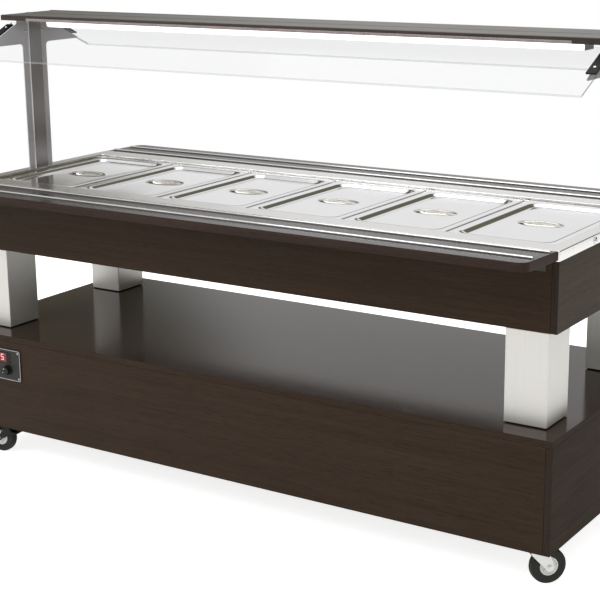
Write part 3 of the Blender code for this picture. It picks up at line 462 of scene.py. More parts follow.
def add_prism(bm, outline, to_world, depth, bevel=0.0005):
    """Extrude a 2-D outline by depth, with small bevels round both rims."""
    front = [bm.verts.new(to_world(a, b, 0)) for a, b in outline]
    back = [bm.verts.new(to_world(a, b, depth)) for a, b in outline]
    caps = [bm.faces.new(front), bm.faces.new(back[::-1])]
    for corners in zip(front, back, turned(back), turned(front)):
        bm.faces.new(corners)
    if bevel:
        rims = list({edge for face in caps for edge in face.edges})
        bmesh.ops.bevel(bm, geom=rims, offset=bevel, segments=2, profile=0.5, affect="EDGES")


def add_tube(bm, points, radius, segments=10):
    """A round bar along a path of points."""
    points = [Vector(point) for point in points]
    rings = []
    for k, point in enumerate(points):
        ahead = points[min(k + 1, len(points) - 1)] - points[max(k - 1, 0)]
        place = facing(ahead, point)
        rings.append([place @ Vector((x, y, 0)) for x, y in circle(radius, segments)])
    add_rings(bm, rings)


def add_ribs(bm, place, count, foot, head, radius):
    """Straight ribs round a turned shape. Foot and head are points of its profile."""
    for start, end in zip(circle(foot[0], count), circle(head[0], count)):
        add_tube(bm, [place @ Vector((*start, foot[1])), place @ Vector((*end, head[1]))], radius, 6)


def arc(centre, radius, start, end, steps):
    """Points on a circle between two angles in degrees."""
    angles = [radians(start + (end - start) * k / steps) for k in range(steps + 1)]
    return [(centre[0] + radius * cos(angle), centre[1] + radius * sin(angle)) for angle in angles]


def rounded_rect(half_x, half_y, radius, steps=6):
    points = []
    for sign_x, sign_y, start in ((1, 1, 0), (-1, 1, 90), (-1, -1, 180), (1, -1, 270)):
        corner = (sign_x * (half_x - radius), sign_y * (half_y - radius))
        points += arc(corner, radius, start, start + 90, steps)
    return points


def oval(half_x, half_y, count):
    angles = [2 * pi * (k + 0.5) / count for k in range(count)]
    return [(half_x * cos(angle), half_y * sin(angle)) for angle in angles]


def flat_ring(points, centre, height):
    return [Vector((centre.x + x, centre.y + y, height)) for x, y in points]


def rect_ring(centre, half_x, half_y, radius, height, steps=6):
    return flat_ring(rounded_rect(half_x, half_y, radius, steps), centre, height)


def facing(direction, place):
    """Placement whose +Z points along a direction."""
    turn = Vector(direction).to_track_quat("Z", "Y").to_matrix().to_4x4()
    return Matrix.Translation(place) @ turn


def cut(*solids):
    """Subtract all later closed bmeshes from the first."""
    items = []
    for solid in solids:
        bmesh.ops.recalc_face_normals(solid, faces=solid.faces)
        items.append(link_object("cut", to_mesh("cut", solid)))
    for tool in items[1:]:
        modifier = items[0].modifiers.new("cut", "BOOLEAN")
        modifier.operation = "DIFFERENCE"
        modifier.object = tool
    bpy.context.view_layer.update()
    result = bmesh.new()
    result.from_object(items[0], bpy.context.evaluated_depsgraph_get())
    for item in items:
        bpy.data.objects.remove(item)
    return result


def screw_head(bm, place, radius, height):
    """Dome head with a sunk middle. Its sizes are in millimetres."""
    dome = ((1, 0), (1, 0.3), (0.93, 0.62), (0.74, 0.9), (0.5, 1), (0.34, 1), (0.28, 0.97), (0.22, 0.75),
            (0, 0.65))
    profile = [(radius * 0.92, -0.4)] + [(radius * r, height * h) for r, h in dome]
    add_turned(bm, profile, place, 20)


# ---- sizes

GAP = 0.0003  # clearance between touching pieces
BASE_X = 1.055
BASE_Y = 0.4145
BASE_LOW = 0.104
BASE_HIGH = 0.419
BOARD = 0.019
FLOOR_LOW = 0.128
FLOOR_HIGH = 0.146
BOX_X = 1.025
BOX_Y = 0.342
BOX_LOW = 0.678
BOX_FLOOR = 0.69
DECK_TOP = 0.895
SKIRT_LOW = 0.868
RECESS_X = 0.986
RECESS_Y = 0.272
DECK_LEVEL = 0.885
TANK_X = 0.979
TANK_Y = 0.262
TANK_LOW = 0.752
SHEET = 0.0012  # sheet thickness of the well
PAN_PITCH = 0.3275
PAN_X = 0.1625  # half sizes of a pan's flange
PAN_Y = 0.265
PAN_TOP = DECK_LEVEL + 0.0013
LID_X = 0.162
LID_TOP = DECK_LEVEL + 0.0029
LID_PAINTED_SHADE_BANDS = (2, 6, 7)  # folds of a lid, counted from its rim, painted dark on its right and front sides as painted shade lines
LID_PANEL_BAND = 17  # last fold before the grip pit
UPRIGHT_X = BOX_X + GAP  # inner face of the T-shaped end plates
PLATE_SHEET = 0.003
ROOF_LOW = 1.386
ROOF_X = 1.055
LAMP_X = 0.94
ROOF_EDGE = 0.0165
ROOF_Y = 0.122
GLASS_SLOPE = radians(25)
GLASS_INNER_Y = 0.08
GLASS_HIGH = 1.378  # top face of the glass at its inner edge
GLASS_SHEET = 0.006
WHEEL_RADIUS = 0.05
TRAIL = 0.035  # wheel axle behind the swivel axis
CASTER_X = {"left": -0.955, "right": 0.997}
CASTER_Y = 0.372
VALVE_X = 0.3
VALVE_Y = 0.16
HEADINGS = {"front_left": 8, "front_right": 48, "rear_left": 20, "rear_right": 125}


# ---- wooden panels


TOP = ((0, 0, 1),)
FRONT_AND_REAR = ((0, -1, 0), (0, 1, 0))
BOTH_ENDS = ((1, 0, 0), (-1, 0, 0))


def board_outline(low, high, radius=0.001):
    """Cross-section of a board, rounded at its edges."""
    half = [(end - start) / 2 for start, end in zip(low, high)]
    return [(low[0] + half[0] + a, low[1] + half[1] + b) for a, b in rounded_rect(*half, radius, 3)]


def paint(bm, index, directions, limit=0.9):
    """Give the faces that look in one of the directions another of the piece's materials."""
    bmesh.ops.recalc_face_normals(bm, faces=bm.faces)
    bm.normal_update()
    for face in bm.faces:
        if any(face.normal.dot(Vector(direction)) > limit for direction in directions):
            face.material_index = index


def long_bar(outline, half_length, bevel, side=1):
    """A new bmesh with an outline in Y and Z that runs along X."""
    bm = bmesh.new()
    add_prism(bm, outline, lambda a, b, t: (t - half_length, side * a, b), 2 * half_length, bevel)
    return bm


def build_carcass(prefix, half_x, half_y, low, high):
    """Front, rear and end panels. The front of the base is open behind the control plate."""
    outline = board_outline((-half_y, low), (-half_y + BOARD, high), 0.0006)
    for side, row in ROWS:
        bm = long_bar(outline, half_x - BOARD - GAP, 0.0006, -side)
        paint(bm, 1, TOP)
        name = f"{prefix}_{row}_panel"
        if name == "base_front_panel":
            opening = bmesh.new()
            add_box(opening, (-0.9685, -BASE_Y - 0.01, 0.2765), (-0.7765, -BASE_Y + 0.05, 0.3715), 0)
            bm = cut(bm, opening)
        piece(f"{name}_board", bm, [panel_x, top_gloss], [name])
    outline = board_outline((-half_x, low), (-half_x + BOARD, high), 0.0006)
    for side, end in ENDS:
        bm = bmesh.new()
        add_prism(bm, outline, lambda a, b, t: (-side * a, -half_y + t, b), 2 * half_y, 0.001)
        paint(bm, 1, FRONT_AND_REAR)
        paint(bm, 2, TOP)
        name = f"{prefix}_{end}_panel"
        # The box ends take the lighter painted-light copy.
        face = box_painted_light_end if prefix == "box" else panel_y
        piece(f"{name}_board", bm, [face, panel_edge, top_gloss], [name])


def flat_board(half_x, half_y, low, high):
    return long_bar(board_outline((-half_y, low), (half_y, high)), half_x, 0.001)


def build_boards():
    bm = flat_board(BASE_X, BASE_Y, BASE_HIGH - BOARD, BASE_HIGH)
    paint(bm, 1, FRONT_AND_REAR)
    paint(bm, 2, BOTH_ENDS)
    piece("base_top_sheet", bm, [top_gloss, panel_x, panel_y], ["base_top_board"])
    inset = BOARD + GAP
    bm = flat_board(BASE_X - inset, BASE_Y - inset, FLOOR_LOW, FLOOR_HIGH)
    piece("base_floor_sheet", bm, [panel_x], ["base_floor_board"])
    hole = bmesh.new()
    bore = [(0, -30), (16, -30), (16, 30), (0, 30)]
    add_turned(hole, bore, Matrix.Translation((VALVE_X, VALVE_Y, BOX_FLOOR)))
    bm = cut(flat_board(BOX_X - inset, BOX_Y - inset, BOX_FLOOR, BOX_FLOOR + 0.016), hole)
    piece("box_floor_sheet", bm, [panel_x], ["box_floor_board"])


def build_pillars():
    """Folded stainless casings with a thin dark band at the foot, and a narrower neck going up into the box.
    """
    half_x = 0.0615
    half_y = 0.067
    low = BASE_HIGH + GAP
    high = BOX_LOW - GAP
    levels = ((0.0008, low + 0.003), (0, low + 0.0038), (0, high - 0.001), (0.001, high))
    casing = [(rounded_rect(half_x - inset, half_y - inset, 0.0028, 5), level) for inset, level in levels]
    dark_foot_band = rounded_rect(half_x - 0.004, half_y - 0.004, 0.004, 3)
    neck = rounded_rect(half_x - 0.004, 0.055, 0.004, 3)
    for side_y, row in ROWS:
        for side_x, end in ENDS:
            centre = Vector((side_x * 0.942, side_y * 0.273, 0))
            bm = bmesh.new()
            add_rings(bm, [flat_ring(outline, centre, level) for outline, level in casing])
            add_rings(bm, [flat_ring(dark_foot_band, centre, level) for level in (low, low + 0.0031)], index=1)
            centre.y -= side_y * 0.008
            add_rings(bm, [flat_ring(neck, centre, level) for level in (high - 0.0001, BOX_FLOOR - GAP)])
            name = f"{row}_{end}_pillar"
            piece(f"{name}_casing", bm, [pillar_steel, black_plastic], [name])


# ---- hot well, pans and lids


def pan_centres():
    return [(number - (PAN_COUNT - 1) / 2) * PAN_PITCH for number in range(PAN_COUNT)]


def quarter(steps=4):
    return [pi / 2 * k / steps for k in range(steps + 1)]


def loop_edges(bm, loop):
    return [bm.edges.get(pair) for pair in zip(loop, turned(loop))]


def build_well():
    """Skirt and raised rim folded from one sheet, down to the recessed deck with its six openings."""
    bend = 0.0022

    def ring(half_x, half_y, radius, height):
        return rect_ring(Vector(), half_x, half_y, radius, height)

    bm = bmesh.new()
    rings = [ring(BOX_X, BOX_Y, 0.004, SKIRT_LOW)]
    for angle in quarter():
        inset = bend * (1 - cos(angle))
        rings.append(ring(BOX_X - inset, BOX_Y - inset, 0.004, DECK_TOP - bend + bend * sin(angle)))
    for angle in quarter():
        out = bend * (1 - sin(angle))
        rings.append(ring(RECESS_X + out, RECESS_Y + out, 0.008, DECK_TOP - bend * (1 - cos(angle))))
    for angle in quarter():
        inset = bend * (1 - cos(angle))
        rings.append(ring(RECESS_X - inset, RECESS_Y - inset, 0.008, DECK_LEVEL + bend * (1 - sin(angle))))
    loops, _ = add_rings(bm, rings, False, False)
    rims = loop_edges(bm, loops[-1])
    for x in pan_centres():
        centre = Vector((x, 0, 0))
        wall = [rect_ring(centre, PAN_X - inset, PAN_Y - inset, 0.024, DECK_LEVEL - drop)
                for inset, drop in mm((7, 0), (8, 0.4), (8.6, 1.4), (8.6, 8))]
        opening, _ = add_rings(bm, wall, False, False)
        rims += loop_edges(bm, opening[0])
    bmesh.ops.triangle_fill(bm, use_beauty=True, use_dissolve=False, edges=rims, normal=(0, 0, 1))
    piece("well_deck", bm, [deck_steel], ["well_tank"], smooth=25, thickness=SHEET)

    levels = ((0, DECK_LEVEL - 0.0016), (0, TANK_LOW + 0.006), (0.0018, TANK_LOW + 0.0018), (0.006, TANK_LOW))
    basin = [ring(TANK_X - inset, TANK_Y - inset, 0.006, height) for inset, height in levels]
    bm = bmesh.new()
    add_rings(bm, basin, False, True)
    piece("well_basin", bm, [deck_steel], ["well_tank"], smooth=40, thickness=SHEET)

    bm = bmesh.new()
    for side in (-1, 1):
        for y in (-0.112, 0.112):
            screw_head(bm, facing((side, 0, 0), (side * BOX_X, y, 0.879)), 9.2, 3.4)
    piece("skirt_screws", bm, [screw_steel])


def build_element():
    bm = bmesh.new()
    height = 0.7615
    path = [(0.93, -0.045), (-0.9, -0.045)] + arc((-0.9, 0), 0.045, 270, 90, 16)[1:] + [(0.93, 0.045)]
    add_tube(bm, [(x, y, height) for x, y in path], 0.004, 14)
    for y in (-0.045, 0.045):
        screw_head(bm, facing((1, 0, 0), (0.93, y, height)), 6.5, 6)
    piece("heating_element_tube", bm, [element_steel], ["heating_element"])


def build_pan(number, x):
    bm = bmesh.new()
    centre = Vector((x, 0, 0))
    rings = []

    def ring(inset, radius, height):
        rings.append(rect_ring(centre, PAN_X - inset, PAN_Y - inset, radius, height, 7))

    ring(0, 0.012, DECK_LEVEL + 0.0002)
    ring(0, 0.012, PAN_TOP - 0.0004)
    ring(0.0004, 0.012, PAN_TOP)
    fillet = 0.0045
    wall = 0.013
    for angle in quarter():
        ring(wall - fillet * (1 - sin(angle)), 0.026, PAN_TOP - fillet * (1 - cos(angle)))
    ring(0.0142, 0.027, PAN_TOP - 0.03)
    ring(0.017, 0.027, PAN_TOP - 0.0315)
    floor = PAN_TOP - 0.0992
    foot = 0.012
    for angle in quarter():
        ring(0.0195 + foot * (1 - cos(angle)), 0.03, floor + foot * (1 - sin(angle)))
    _, faces = add_rings(bm, rings, False, True)
    # Painted shade: the flange edge takes the dark steel as a shadow line.
    for face in faces[:len(rings[0])]:
        face.material_index = 1
    name = f"pan_{number}"
    piece(f"{name}_shell", bm, [pan_steel, rim_painted_shade_steel], [name], name, 40, 0.0008)


def lid_rings(x):
    """Rings of a pressed lid from its hanging rim inwards to the floor of the grip pit."""
    centre = Vector((x, 0, 0))
    steps = 11
    count = 4 * (steps + 1)
    # Inset, corner radius and drop of each ring of the panel.
    panel = mm((0, 16, 1.4), (0.1, 16, 0.3), (0.8, 15.5, 0), (3.6, 16, 0), (7.8, 17, -0.5),
               (9.8, 18, -0.5), (24, 28, 0), (26.2, 30, 0.1), (28.6, 32, 0.6), (30.6, 33, 1.8),
               (36.8, 30, 6.4), (38.8, 29, 7.6), (41.4, 28, 8.4), (44.6, 28, 8.7), (48.5, 28, 8.7),
               (60, 30, 8.2))
    # Half width, half depth and drop of each ring of the finger pit.
    pit = mm((79, 49, 7.8), (72, 43, 7.8), (69.5, 40.5, 7.2), (67, 38.5, 7.2), (64.5, 36.5, 8),
             (62, 34.5, 9.4), (56, 30, 14), (50, 25.5, 17.2), (43, 20.5, 18.4), (20, 9, 18.7))
    rings = [rect_ring(centre, LID_X - inset, PAN_Y - inset, radius, LID_TOP - drop, steps)
             for inset, radius, drop in panel]
    rings += [flat_ring(oval(wide, deep, count), centre, LID_TOP - drop) for wide, deep, drop in pit]
    return rings


def build_lid(number, x):
    bm = bmesh.new()
    rings = lid_rings(x)
    _, faces = add_rings(bm, rings, False, True)
    around = len(rings[0])
    for order, face in enumerate(faces):
        band = order // around
        middle = face.calc_center_median()
        # Painted shade: the rim all round, and some folds on the right and front sides, take the dark steel.
        painted_shade_side = middle.x - x > LID_X - 0.055 or middle.y < 0.055 - PAN_Y
        if band == 0 or (painted_shade_side and band in LID_PAINTED_SHADE_BANDS):
            face.material_index = 1
        # Painted shade: the grip pit takes the darker copy of the lid steel.
        elif band > LID_PANEL_BAND:
            face.material_index = 2
    name = f"lid_{number}"
    piece(f"{name}_pressing", bm, [lid_steel, rim_painted_shade_steel, pit_painted_shade_steel], [name], name, 50, 0.0009)
    bm = bmesh.new()
    rings = []
    stations = 24
    for k in range(stations + 1):
        s = -1 + 2 * k / stations
        half = 0.0058 + 0.0034 * s * s - 0.004 * max(0, abs(s) - 0.92) / 0.08
        top = LID_TOP - 0.0054 - 0.0022 * abs(s) ** 3
        outline = rounded_rect(half, 0.0009, 0.0006, 3)
        rings.append([Vector((x + 0.067 * s, a, top - 0.0009 + b)) for a, b in outline])
    add_rings(bm, rings)
    # The strap takes the same darker painted-shade steel.
    piece(f"{name}_strap", bm, [pit_painted_shade_steel], [name], name)


# ---- tray slides


def build_strip(bm, side, offset, half_length):
    """Half-round bar with rounded ends, lying on the board. Its two feet are painted dark, as the painted
    shade under its highlight.
    """
    middle = side * (BOX_Y + offset)
    half_width = 0.007
    height = 0.005
    half_round = arc((0, 0), 1, 0, 180, 12)
    rings = []
    for sign, angles in ((-1, quarter(5)), (1, quarter(5)[::-1])):
        for angle in angles:
            x = sign * (half_length - half_width * (1 - cos(angle)))
            scale = max(0.08, sin(angle))
            wide = half_width * scale
            high = height * scale ** 0.6
            rings.append([Vector((x, middle + wide * a, DECK_TOP + GAP + high * b)) for a, b in half_round])
    add_rings(bm, rings)
    # Painted shade: the feet take the dark steel.
    paint(bm, 1, FRONT_AND_REAR, 0.7)


def build_slide(side, row):
    depth = 0.163
    taper = 0.014  # by which each end runs in towards the outer edge
    thickness = 0.025
    inner = BOX_Y + 0.0008
    outer = inner + depth
    low = DECK_TOP - thickness
    length = 1.02
    corner = 0.028
    slant = atan(taper / depth)
    turn_x = length - (outer - corner - inner) * tan(slant) - corner / cos(slant)
    start = degrees(slant)
    outline = [(length, inner)] + arc((turn_x, outer - corner), corner, start, 90, 12)
    outline += arc((-turn_x, outer - corner), corner, 90, 180 - start, 12) + [(-length, inner)]
    bm = bmesh.new()
    add_prism(bm, outline, lambda a, b, t: (a, side * b, low + t), thickness, 0.0012)
    # The top takes the greyer painted-sheen laminate.
    paint(bm, 1, TOP, 0.95)
    name = f"{row}_slide"
    piece(f"{name}_shelf", bm, [slide_edge, slide_painted_sheen_top], [f"{name}_board"], name)
    for label, offset, half in (("inner", 0.024, 1.012), ("outer", 0.104, 1.002)):
        bm = bmesh.new()
        build_strip(bm, side, offset, half)
        strip = f"{name}_{label}_strip"
        piece(f"{row}_{label}_bar", bm, [strip_steel, strip_painted_shade_foot], [strip], name, 50)
    build_hinge(side, row, low - 0.0045)


def build_hinge(side, row, pin_z):
    """Fixed leaf of a piano hinge: plate, screws and a row of knuckles."""
    face = BOX_Y + GAP
    half = 0.99
    bm = bmesh.new()
    leaf = rounded_rect(half, 0.0128, 0.002, 3)
    add_prism(bm, leaf, lambda a, b, t: (a, side * (face + t), pin_z - 0.0132 + b), 0.0016, 0.0003)
    pitch = 0.032
    length = pitch - 0.0012
    knuckle = [(0, 0), (3, 0), (3.6, 0.5), (3.6, 30.3), (3, 30.8), (0, 30.8)]
    for k in range(int(2 * half / pitch)):
        start = -half + k * pitch + 0.0006
        add_turned(bm, knuckle, facing((1, 0, 0), (start, side * (BOX_Y + 0.0052), pin_z)), 14)
        if k % 4 == 2:
            place = facing((0, side, 0), (start + length / 2, side * (face + 0.0016), pin_z - 0.015))
            screw_head(bm, place, 3.6, 1)
    # The leaf's dark steel is painted shade.
    piece(f"{row}_hinge_leaf", bm, [hinge_steel], [f"{row}_slide_hinge"])


# ---- canopy


def glass_top(y):
    return GLASS_HIGH - (abs(y) - GLASS_INNER_Y) * tan(GLASS_SLOPE)


def glass_under(y):
    return glass_top(y) - GLASS_SHEET / cos(GLASS_SLOPE)


def plate_outline():
    """Half of the T plate, from its foot up the stem, out along the arm and up the sloping edge."""
    foot = SKIRT_LOW
    low = 1.305
    nose = low + 0.004
    tip = GLASS_INNER_Y + (glass_under(GLASS_INNER_Y) - GAP - nose) / tan(GLASS_SLOPE)
    head = 0.0785
    half = [(0.0555, foot)] + arc((0.0675, low - 0.012), 0.012, 180, 90, 8)
    half += arc((tip - 0.004, nose), 0.004, 270, 335, 4)
    half += [(tip, nose), (head, glass_under(head) - GAP), (head, ROOF_LOW - GAP)]
    return half


def build_upright(side, end):
    half = plate_outline()
    outline = half + [(-y, z) for y, z in reversed(half)]
    bm = bmesh.new()
    add_prism(bm, outline, lambda a, b, t: (side * (UPRIGHT_X + t), a, b), PLATE_SHEET, 0.0005)
    name = f"{end}_upright"
    piece(f"{name}_plate", bm, [plate_steel], [name])
    low = DECK_TOP + GAP
    height = ROOF_LOW - GAP - low
    profile = mm((-30.5, 0), (-30.5, 2), (-28.5, 4), (28.5, 4), (30.5, 2), (30.5, 0))
    bm = bmesh.new()
    add_prism(bm, profile, lambda a, b, t: (side * (UPRIGHT_X - b), a, low + t), height, 0)
    # The front face takes the darker painted-shade steel; the rest takes the painted-highlight steel.
    paint(bm, 1, [(-side, 0, 0)], 0.98)
    piece(f"{name}_cover", bm, [cover_painted_highlight_edge, cover_painted_shade_steel], smooth=20)
    bm = bmesh.new()
    for y in (-0.04, 0.04):
        screw_head(bm, facing((side, 0, 0), (side * (UPRIGHT_X + PLATE_SHEET), y, 0.8815)), 6.2, 2.4)
        screw_head(bm, facing((-side, 0, 0), (side * UPRIGHT_X, y, 1.345)), 4.2, 1.8)
    piece(f"{name}_screws", bm, [screw_steel])


def build_roof():
    """Thin wooden board with a low metal cover, and the light channel with its lenses under it."""
    outline = board_outline((-ROOF_Y, ROOF_LOW), (ROOF_Y, ROOF_LOW + ROOF_EDGE), 0.0015)
    bm = long_bar(outline, ROOF_X, 0.0012)
    paint(bm, 1, TOP, 0.95)
    piece("roof_plank", bm, [roof_wood, roof_metal], ["roof_board"])
    top = ROOF_LOW + ROOF_EDGE + 0.0001
    cover = mm((-119, 0), (-119, 1), (-114, 1.2), (-112, 0.4), (-10, 0.4), (-8, 1.4), (8, 1.4), (10, 0.4),
               (112, 0.4), (114, 2.2), (119, 1.8), (119, 0))
    bm = long_bar([(y, top + z) for y, z in cover], ROOF_X - 0.003, 0.0002)
    piece("roof_cover", bm, [roof_metal], ["roof_board"])
    bm = bmesh.new()
    pitch = 0.0141
    for row in (-1, 1):
        rail = row * (ROOF_Y + 0.0012)
        add_box(bm, (-0.944, row * ROOF_Y, ROOF_LOW + 0.0004), (0.944, rail, ROOF_LOW + 0.0085), 0.0004, 1)
        for k in range(int(1.87 / pitch)):
            x = -0.936 + k * pitch
            bead = (row * (ROOF_Y + 0.0008), row * (ROOF_Y + 0.0026))
            add_box(bm, (x, bead[0], ROOF_LOW + 0.0012), (x + 0.0075, bead[1], ROOF_LOW + 0.0078), segments=1)
    piece("roof_lenses", bm, [lens_plastic])

    high = ROOF_LOW - GAP
    low = high - 0.025
    channel = [(-0.03, high), (-0.03, low + 0.009), (-0.0285, low + 0.0078), (0.0285, low + 0.0078),
               (0.03, low + 0.009), (0.03, high)]
    bm = long_bar(channel, LAMP_X, 0.0004)
    piece("lamp_channel", bm, [lamp_light], ["lamp"])
    diffuser = [(-0.0285, low + 0.0076)] + arc((-0.0205, low + 0.008), 0.008, 180, 270, 5)
    diffuser += arc((0.0205, low + 0.008), 0.008, 270, 360, 5) + [(0.0285, low + 0.0076)]
    bm = long_bar(diffuser, LAMP_X - 0.002, 0.0004)
    piece("lamp_cover", bm, [lamp_light], ["lamp"])
    bm = bmesh.new()
    for end in (-1, 1):
        add_box(bm, (end * LAMP_X, -0.0295, low + 0.0004), (end * 0.9425, 0.0295, high - 0.0004))
    piece("lamp_ends", bm, [plate_steel])


def build_glass():
    slope = Vector((0, cos(GLASS_SLOPE), -sin(GLASS_SLOPE)))
    lift = Vector((0, sin(GLASS_SLOPE), cos(GLASS_SLOPE)))
    for side, row in ROWS:
        inner = GLASS_INNER_Y
        outer = 0.292
        outline = [(inner, glass_under(inner)), (outer, glass_under(outer)), (outer, glass_top(outer)),
                   (inner, glass_top(inner))]
        bm = long_bar(outline, 1.047, 0, side)
        bmesh.ops.bevel(bm, geom=list(bm.edges), offset=0.0005, segments=1, affect="EDGES")
        bmesh.ops.recalc_face_normals(bm, faces=bm.faces)
        bm.normal_update()
        for face in bm.faces:
            normal = Vector((face.normal.x, side * face.normal.y, face.normal.z))
            if normal.y > 0.5 and abs(normal.dot(lift)) < 0.5:
                face.material_index = 1
            elif abs(normal.x) > 0.5:
                face.material_index = 2
        name = f"{row}_glass"
        piece(f"{name}_pane", bm, [glass_face, glass_lip, glass_side], [name])
    bm = bmesh.new()
    screws = bmesh.new()
    for side, _ in ROWS:
        for end, _ in ENDS:
            start = Vector((end * 1.033, 0.101, glass_top(0.101)))
            axes = Matrix((Vector((1, 0, 0)), slope, lift)).transposed()
            outline = rounded_rect(0.014, 0.057, 0.0012, 2)

            def clamp_point(a, b, t):
                point = start + axes @ Vector((a, 0.057 + b, t + 0.0003))
                return (point.x, side * point.y, point.z)

            add_prism(bm, outline, clamp_point, 0.005, 0.0008)
            for reach in (0.02, 0.085):
                point = start + axes @ Vector((0, reach, 0.0052))
                direction = (0, side * lift.y, lift.z)
                screw_head(screws, facing(direction, (point.x, side * point.y, point.z)), 4.2, 2.2)
    piece("glass_clamps", bm, [clamp_plastic])
    piece("clamp_screws", screws, [screw_steel])


# ---- controls, gland and valve

PLATE_BACK = -BASE_Y - GAP
PLATE_FRONT = PLATE_BACK - 0.003
PLATE_LEFT = -0.9725
PLATE_RIGHT = -0.7725
PLATE_LOW = 0.2725
PLATE_HIGH = 0.3755
KNOB = (-0.8255, 0.307)
SWITCH = (-0.925, 0.307)
# Bars of a seven-segment figure: left, low, right and high end in half widths and half heights.
BARS = {"a": (-1, 1, 1, 1), "b": (1, 0, 1, 1), "c": (1, -1, 1, 0), "d": (-1, -1, 1, -1),
        "e": (-1, -1, -1, 0), "f": (-1, 0, -1, 1), "g": (-1, 0, 1, 0)}
DIGITS = (("acdefg", -0.869), ("acdfg", -0.8475))  # lit bars, and place along the plate


def front_place(x, z, y):
    """Placement on the front, with local +Z pointing out of the plate."""
    return facing((0, -1, 0), (x, y, z))


def build_control_plate():
    middle_x = (PLATE_LEFT + PLATE_RIGHT) / 2
    middle_z = (PLATE_LOW + PLATE_HIGH) / 2
    half_x = (PLATE_RIGHT - PLATE_LEFT) / 2
    half_z = (PLATE_HIGH - PLATE_LOW) / 2
    bm = bmesh.new()
    plate = rounded_rect(half_x, half_z, 0.006)
    add_prism(bm, plate, lambda a, b, t: (middle_x + a, PLATE_FRONT + t, middle_z + b), 0.003, 0.0009)
    add_box(bm, (PLATE_LEFT + 0.006, PLATE_BACK - 0.0002, PLATE_LOW + 0.006),
            (PLATE_RIGHT - 0.006, PLATE_BACK + 0.075, PLATE_HIGH - 0.006), 0.001)
    window = bmesh.new()
    add_box(window, (-0.905, PLATE_FRONT - 0.01, 0.328), (-0.813, PLATE_BACK + 0.03, 0.365), 0)
    rocker = bmesh.new()
    add_box(rocker, (-0.9325, PLATE_FRONT - 0.01, 0.296), (-0.9175, PLATE_BACK + 0.03, 0.318), 0)
    shaft = bmesh.new()
    add_turned(shaft, [(0, -40), (4.5, -40), (4.5, 20), (0, 20)], front_place(*KNOB, PLATE_FRONT), 24)
    bm = cut(bm, window, rocker, shaft)
    piece("control_housing", bm, [control_paint], ["control_box"])

    bm = bmesh.new()
    add_frame(bm, middle_x, middle_z, half_x - 0.0012, half_z - 0.0012, 0.0016, 0.0055)
    for x in (PLATE_LEFT + 0.009, PLATE_RIGHT - 0.009):
        for z in (PLATE_LOW + 0.009, PLATE_HIGH - 0.009):
            screw_head(bm, front_place(x, z, PLATE_FRONT - 0.0001), 3.4, 1.4)
    piece("control_trim", bm, [bezel_steel])


def add_frame(bm, x, z, half_x, half_z, width, radius):
    """A thin raised bead running round a rectangle on the face plate."""
    outer = rounded_rect(half_x, half_z, radius)
    inner = rounded_rect(half_x - width, half_z - width, radius - width)
    low = PLATE_FRONT + 0.0002
    high = PLATE_FRONT - 0.0006
    rings = [[Vector((x + a, y, z + b)) for a, b in outline]
             for outline, y in ((outer, low), (outer, high), (inner, high), (inner, low))]
    loops, _ = add_rings(bm, rings, False, False)
    for corners in zip(loops[3], turned(loops[3]), turned(loops[0]), loops[0]):
        bm.faces.new(corners)


def build_display():
    bm = bmesh.new()
    add_box(bm, (-0.9047, PLATE_FRONT - 0.001, 0.3283), (-0.8133, PLATE_BACK + 0.02, 0.3647), 0.0012, 2, 1)
    add_box(bm, (-0.9015, PLATE_FRONT - 0.0014, 0.3315), (-0.831, PLATE_FRONT - 0.0004, 0.3615), 0.0006)
    piece("display_body", bm, [display_red, black_plastic], ["temperature_display"])
    bm = bmesh.new()
    for parts, x in DIGITS:
        add_digit(bm, parts, x, 0.3478)
    piece("display_digits", bm, [digit_light])


def add_digit(bm, parts, x, z):
    """Seven-segment figure made of small bars."""
    half_width = 0.0048
    half_height = 0.0088
    thick = 0.0011
    for part in parts:
        left, low, right, high = BARS[part]
        corner = (x + left * half_width - thick, PLATE_FRONT - 0.0018, z + low * half_height - thick)
        opposite = (x + right * half_width + thick, PLATE_FRONT - 0.0013, z + high * half_height + thick)
        add_box(bm, corner, opposite, 0.0002, 1)


def build_knob():
    x, z = KNOB
    name = "thermostat_knob"
    seat = PLATE_FRONT - 0.0005
    place = front_place(x, z, seat)
    bm = bmesh.new()
    profile = [(0, -14), (3.5, -14), (4, -13.5), (4, 0.1), (16.6, 0.1), (17, 0.6), (16.8, 3.2),
               (15.8, 4.6), (14.2, 5), (13.8, 5.8), (13.2, 14), (12.6, 15.4), (11.2, 16), (8, 15.7),
               (0, 15.6)]
    add_turned(bm, profile, place, 48)
    add_ribs(bm, place, 24, (0.0136, 0.006), (0.013, 0.0142), 0.0007)
    piece("thermostat_dial", bm, [black_plastic], [name], name)
    bm = bmesh.new()
    for dx, dz, half_a, half_b in ((-0.0055, 0.006, 0.0022, 0.0008), (-0.0095, -0.006, 0.0012, 0.0012)):
        mark = rounded_rect(half_a, half_b, 0.0005, 2)
        face = seat - 0.016
        add_prism(bm, mark, lambda a, b, t: (x + dx + a, face - 0.0002 + t, z + dz + b), 0.0006, 0)
    piece("thermostat_mark", bm, [marking_white], body=name)


def build_switch():
    x, z = SWITCH
    name = "power_switch"
    pin = PLATE_FRONT + 0.002
    bm = bmesh.new()
    outline = mm((-10, -4.5), (-5, -3.6), (0, -3.4), (5, -3.6), (10, -4.5), (10, -1), (7, 8), (-7, 8),
               (-10, -1))
    add_prism(bm, outline, lambda a, b, t: (x - 0.0065 + t, pin + b, z + a), 0.013, 0.0006)
    piece("power_rocker", bm, [black_plastic], [name], name)
    bm = bmesh.new()
    add_prism(bm, rounded_rect(0.001, 0.0022, 0.0004, 2),
              lambda a, b, t: (x + a, pin - 0.0043 + t, z + 0.006 + b), 0.0006, 0)
    piece("power_mark", bm, [marking_white], body=name)


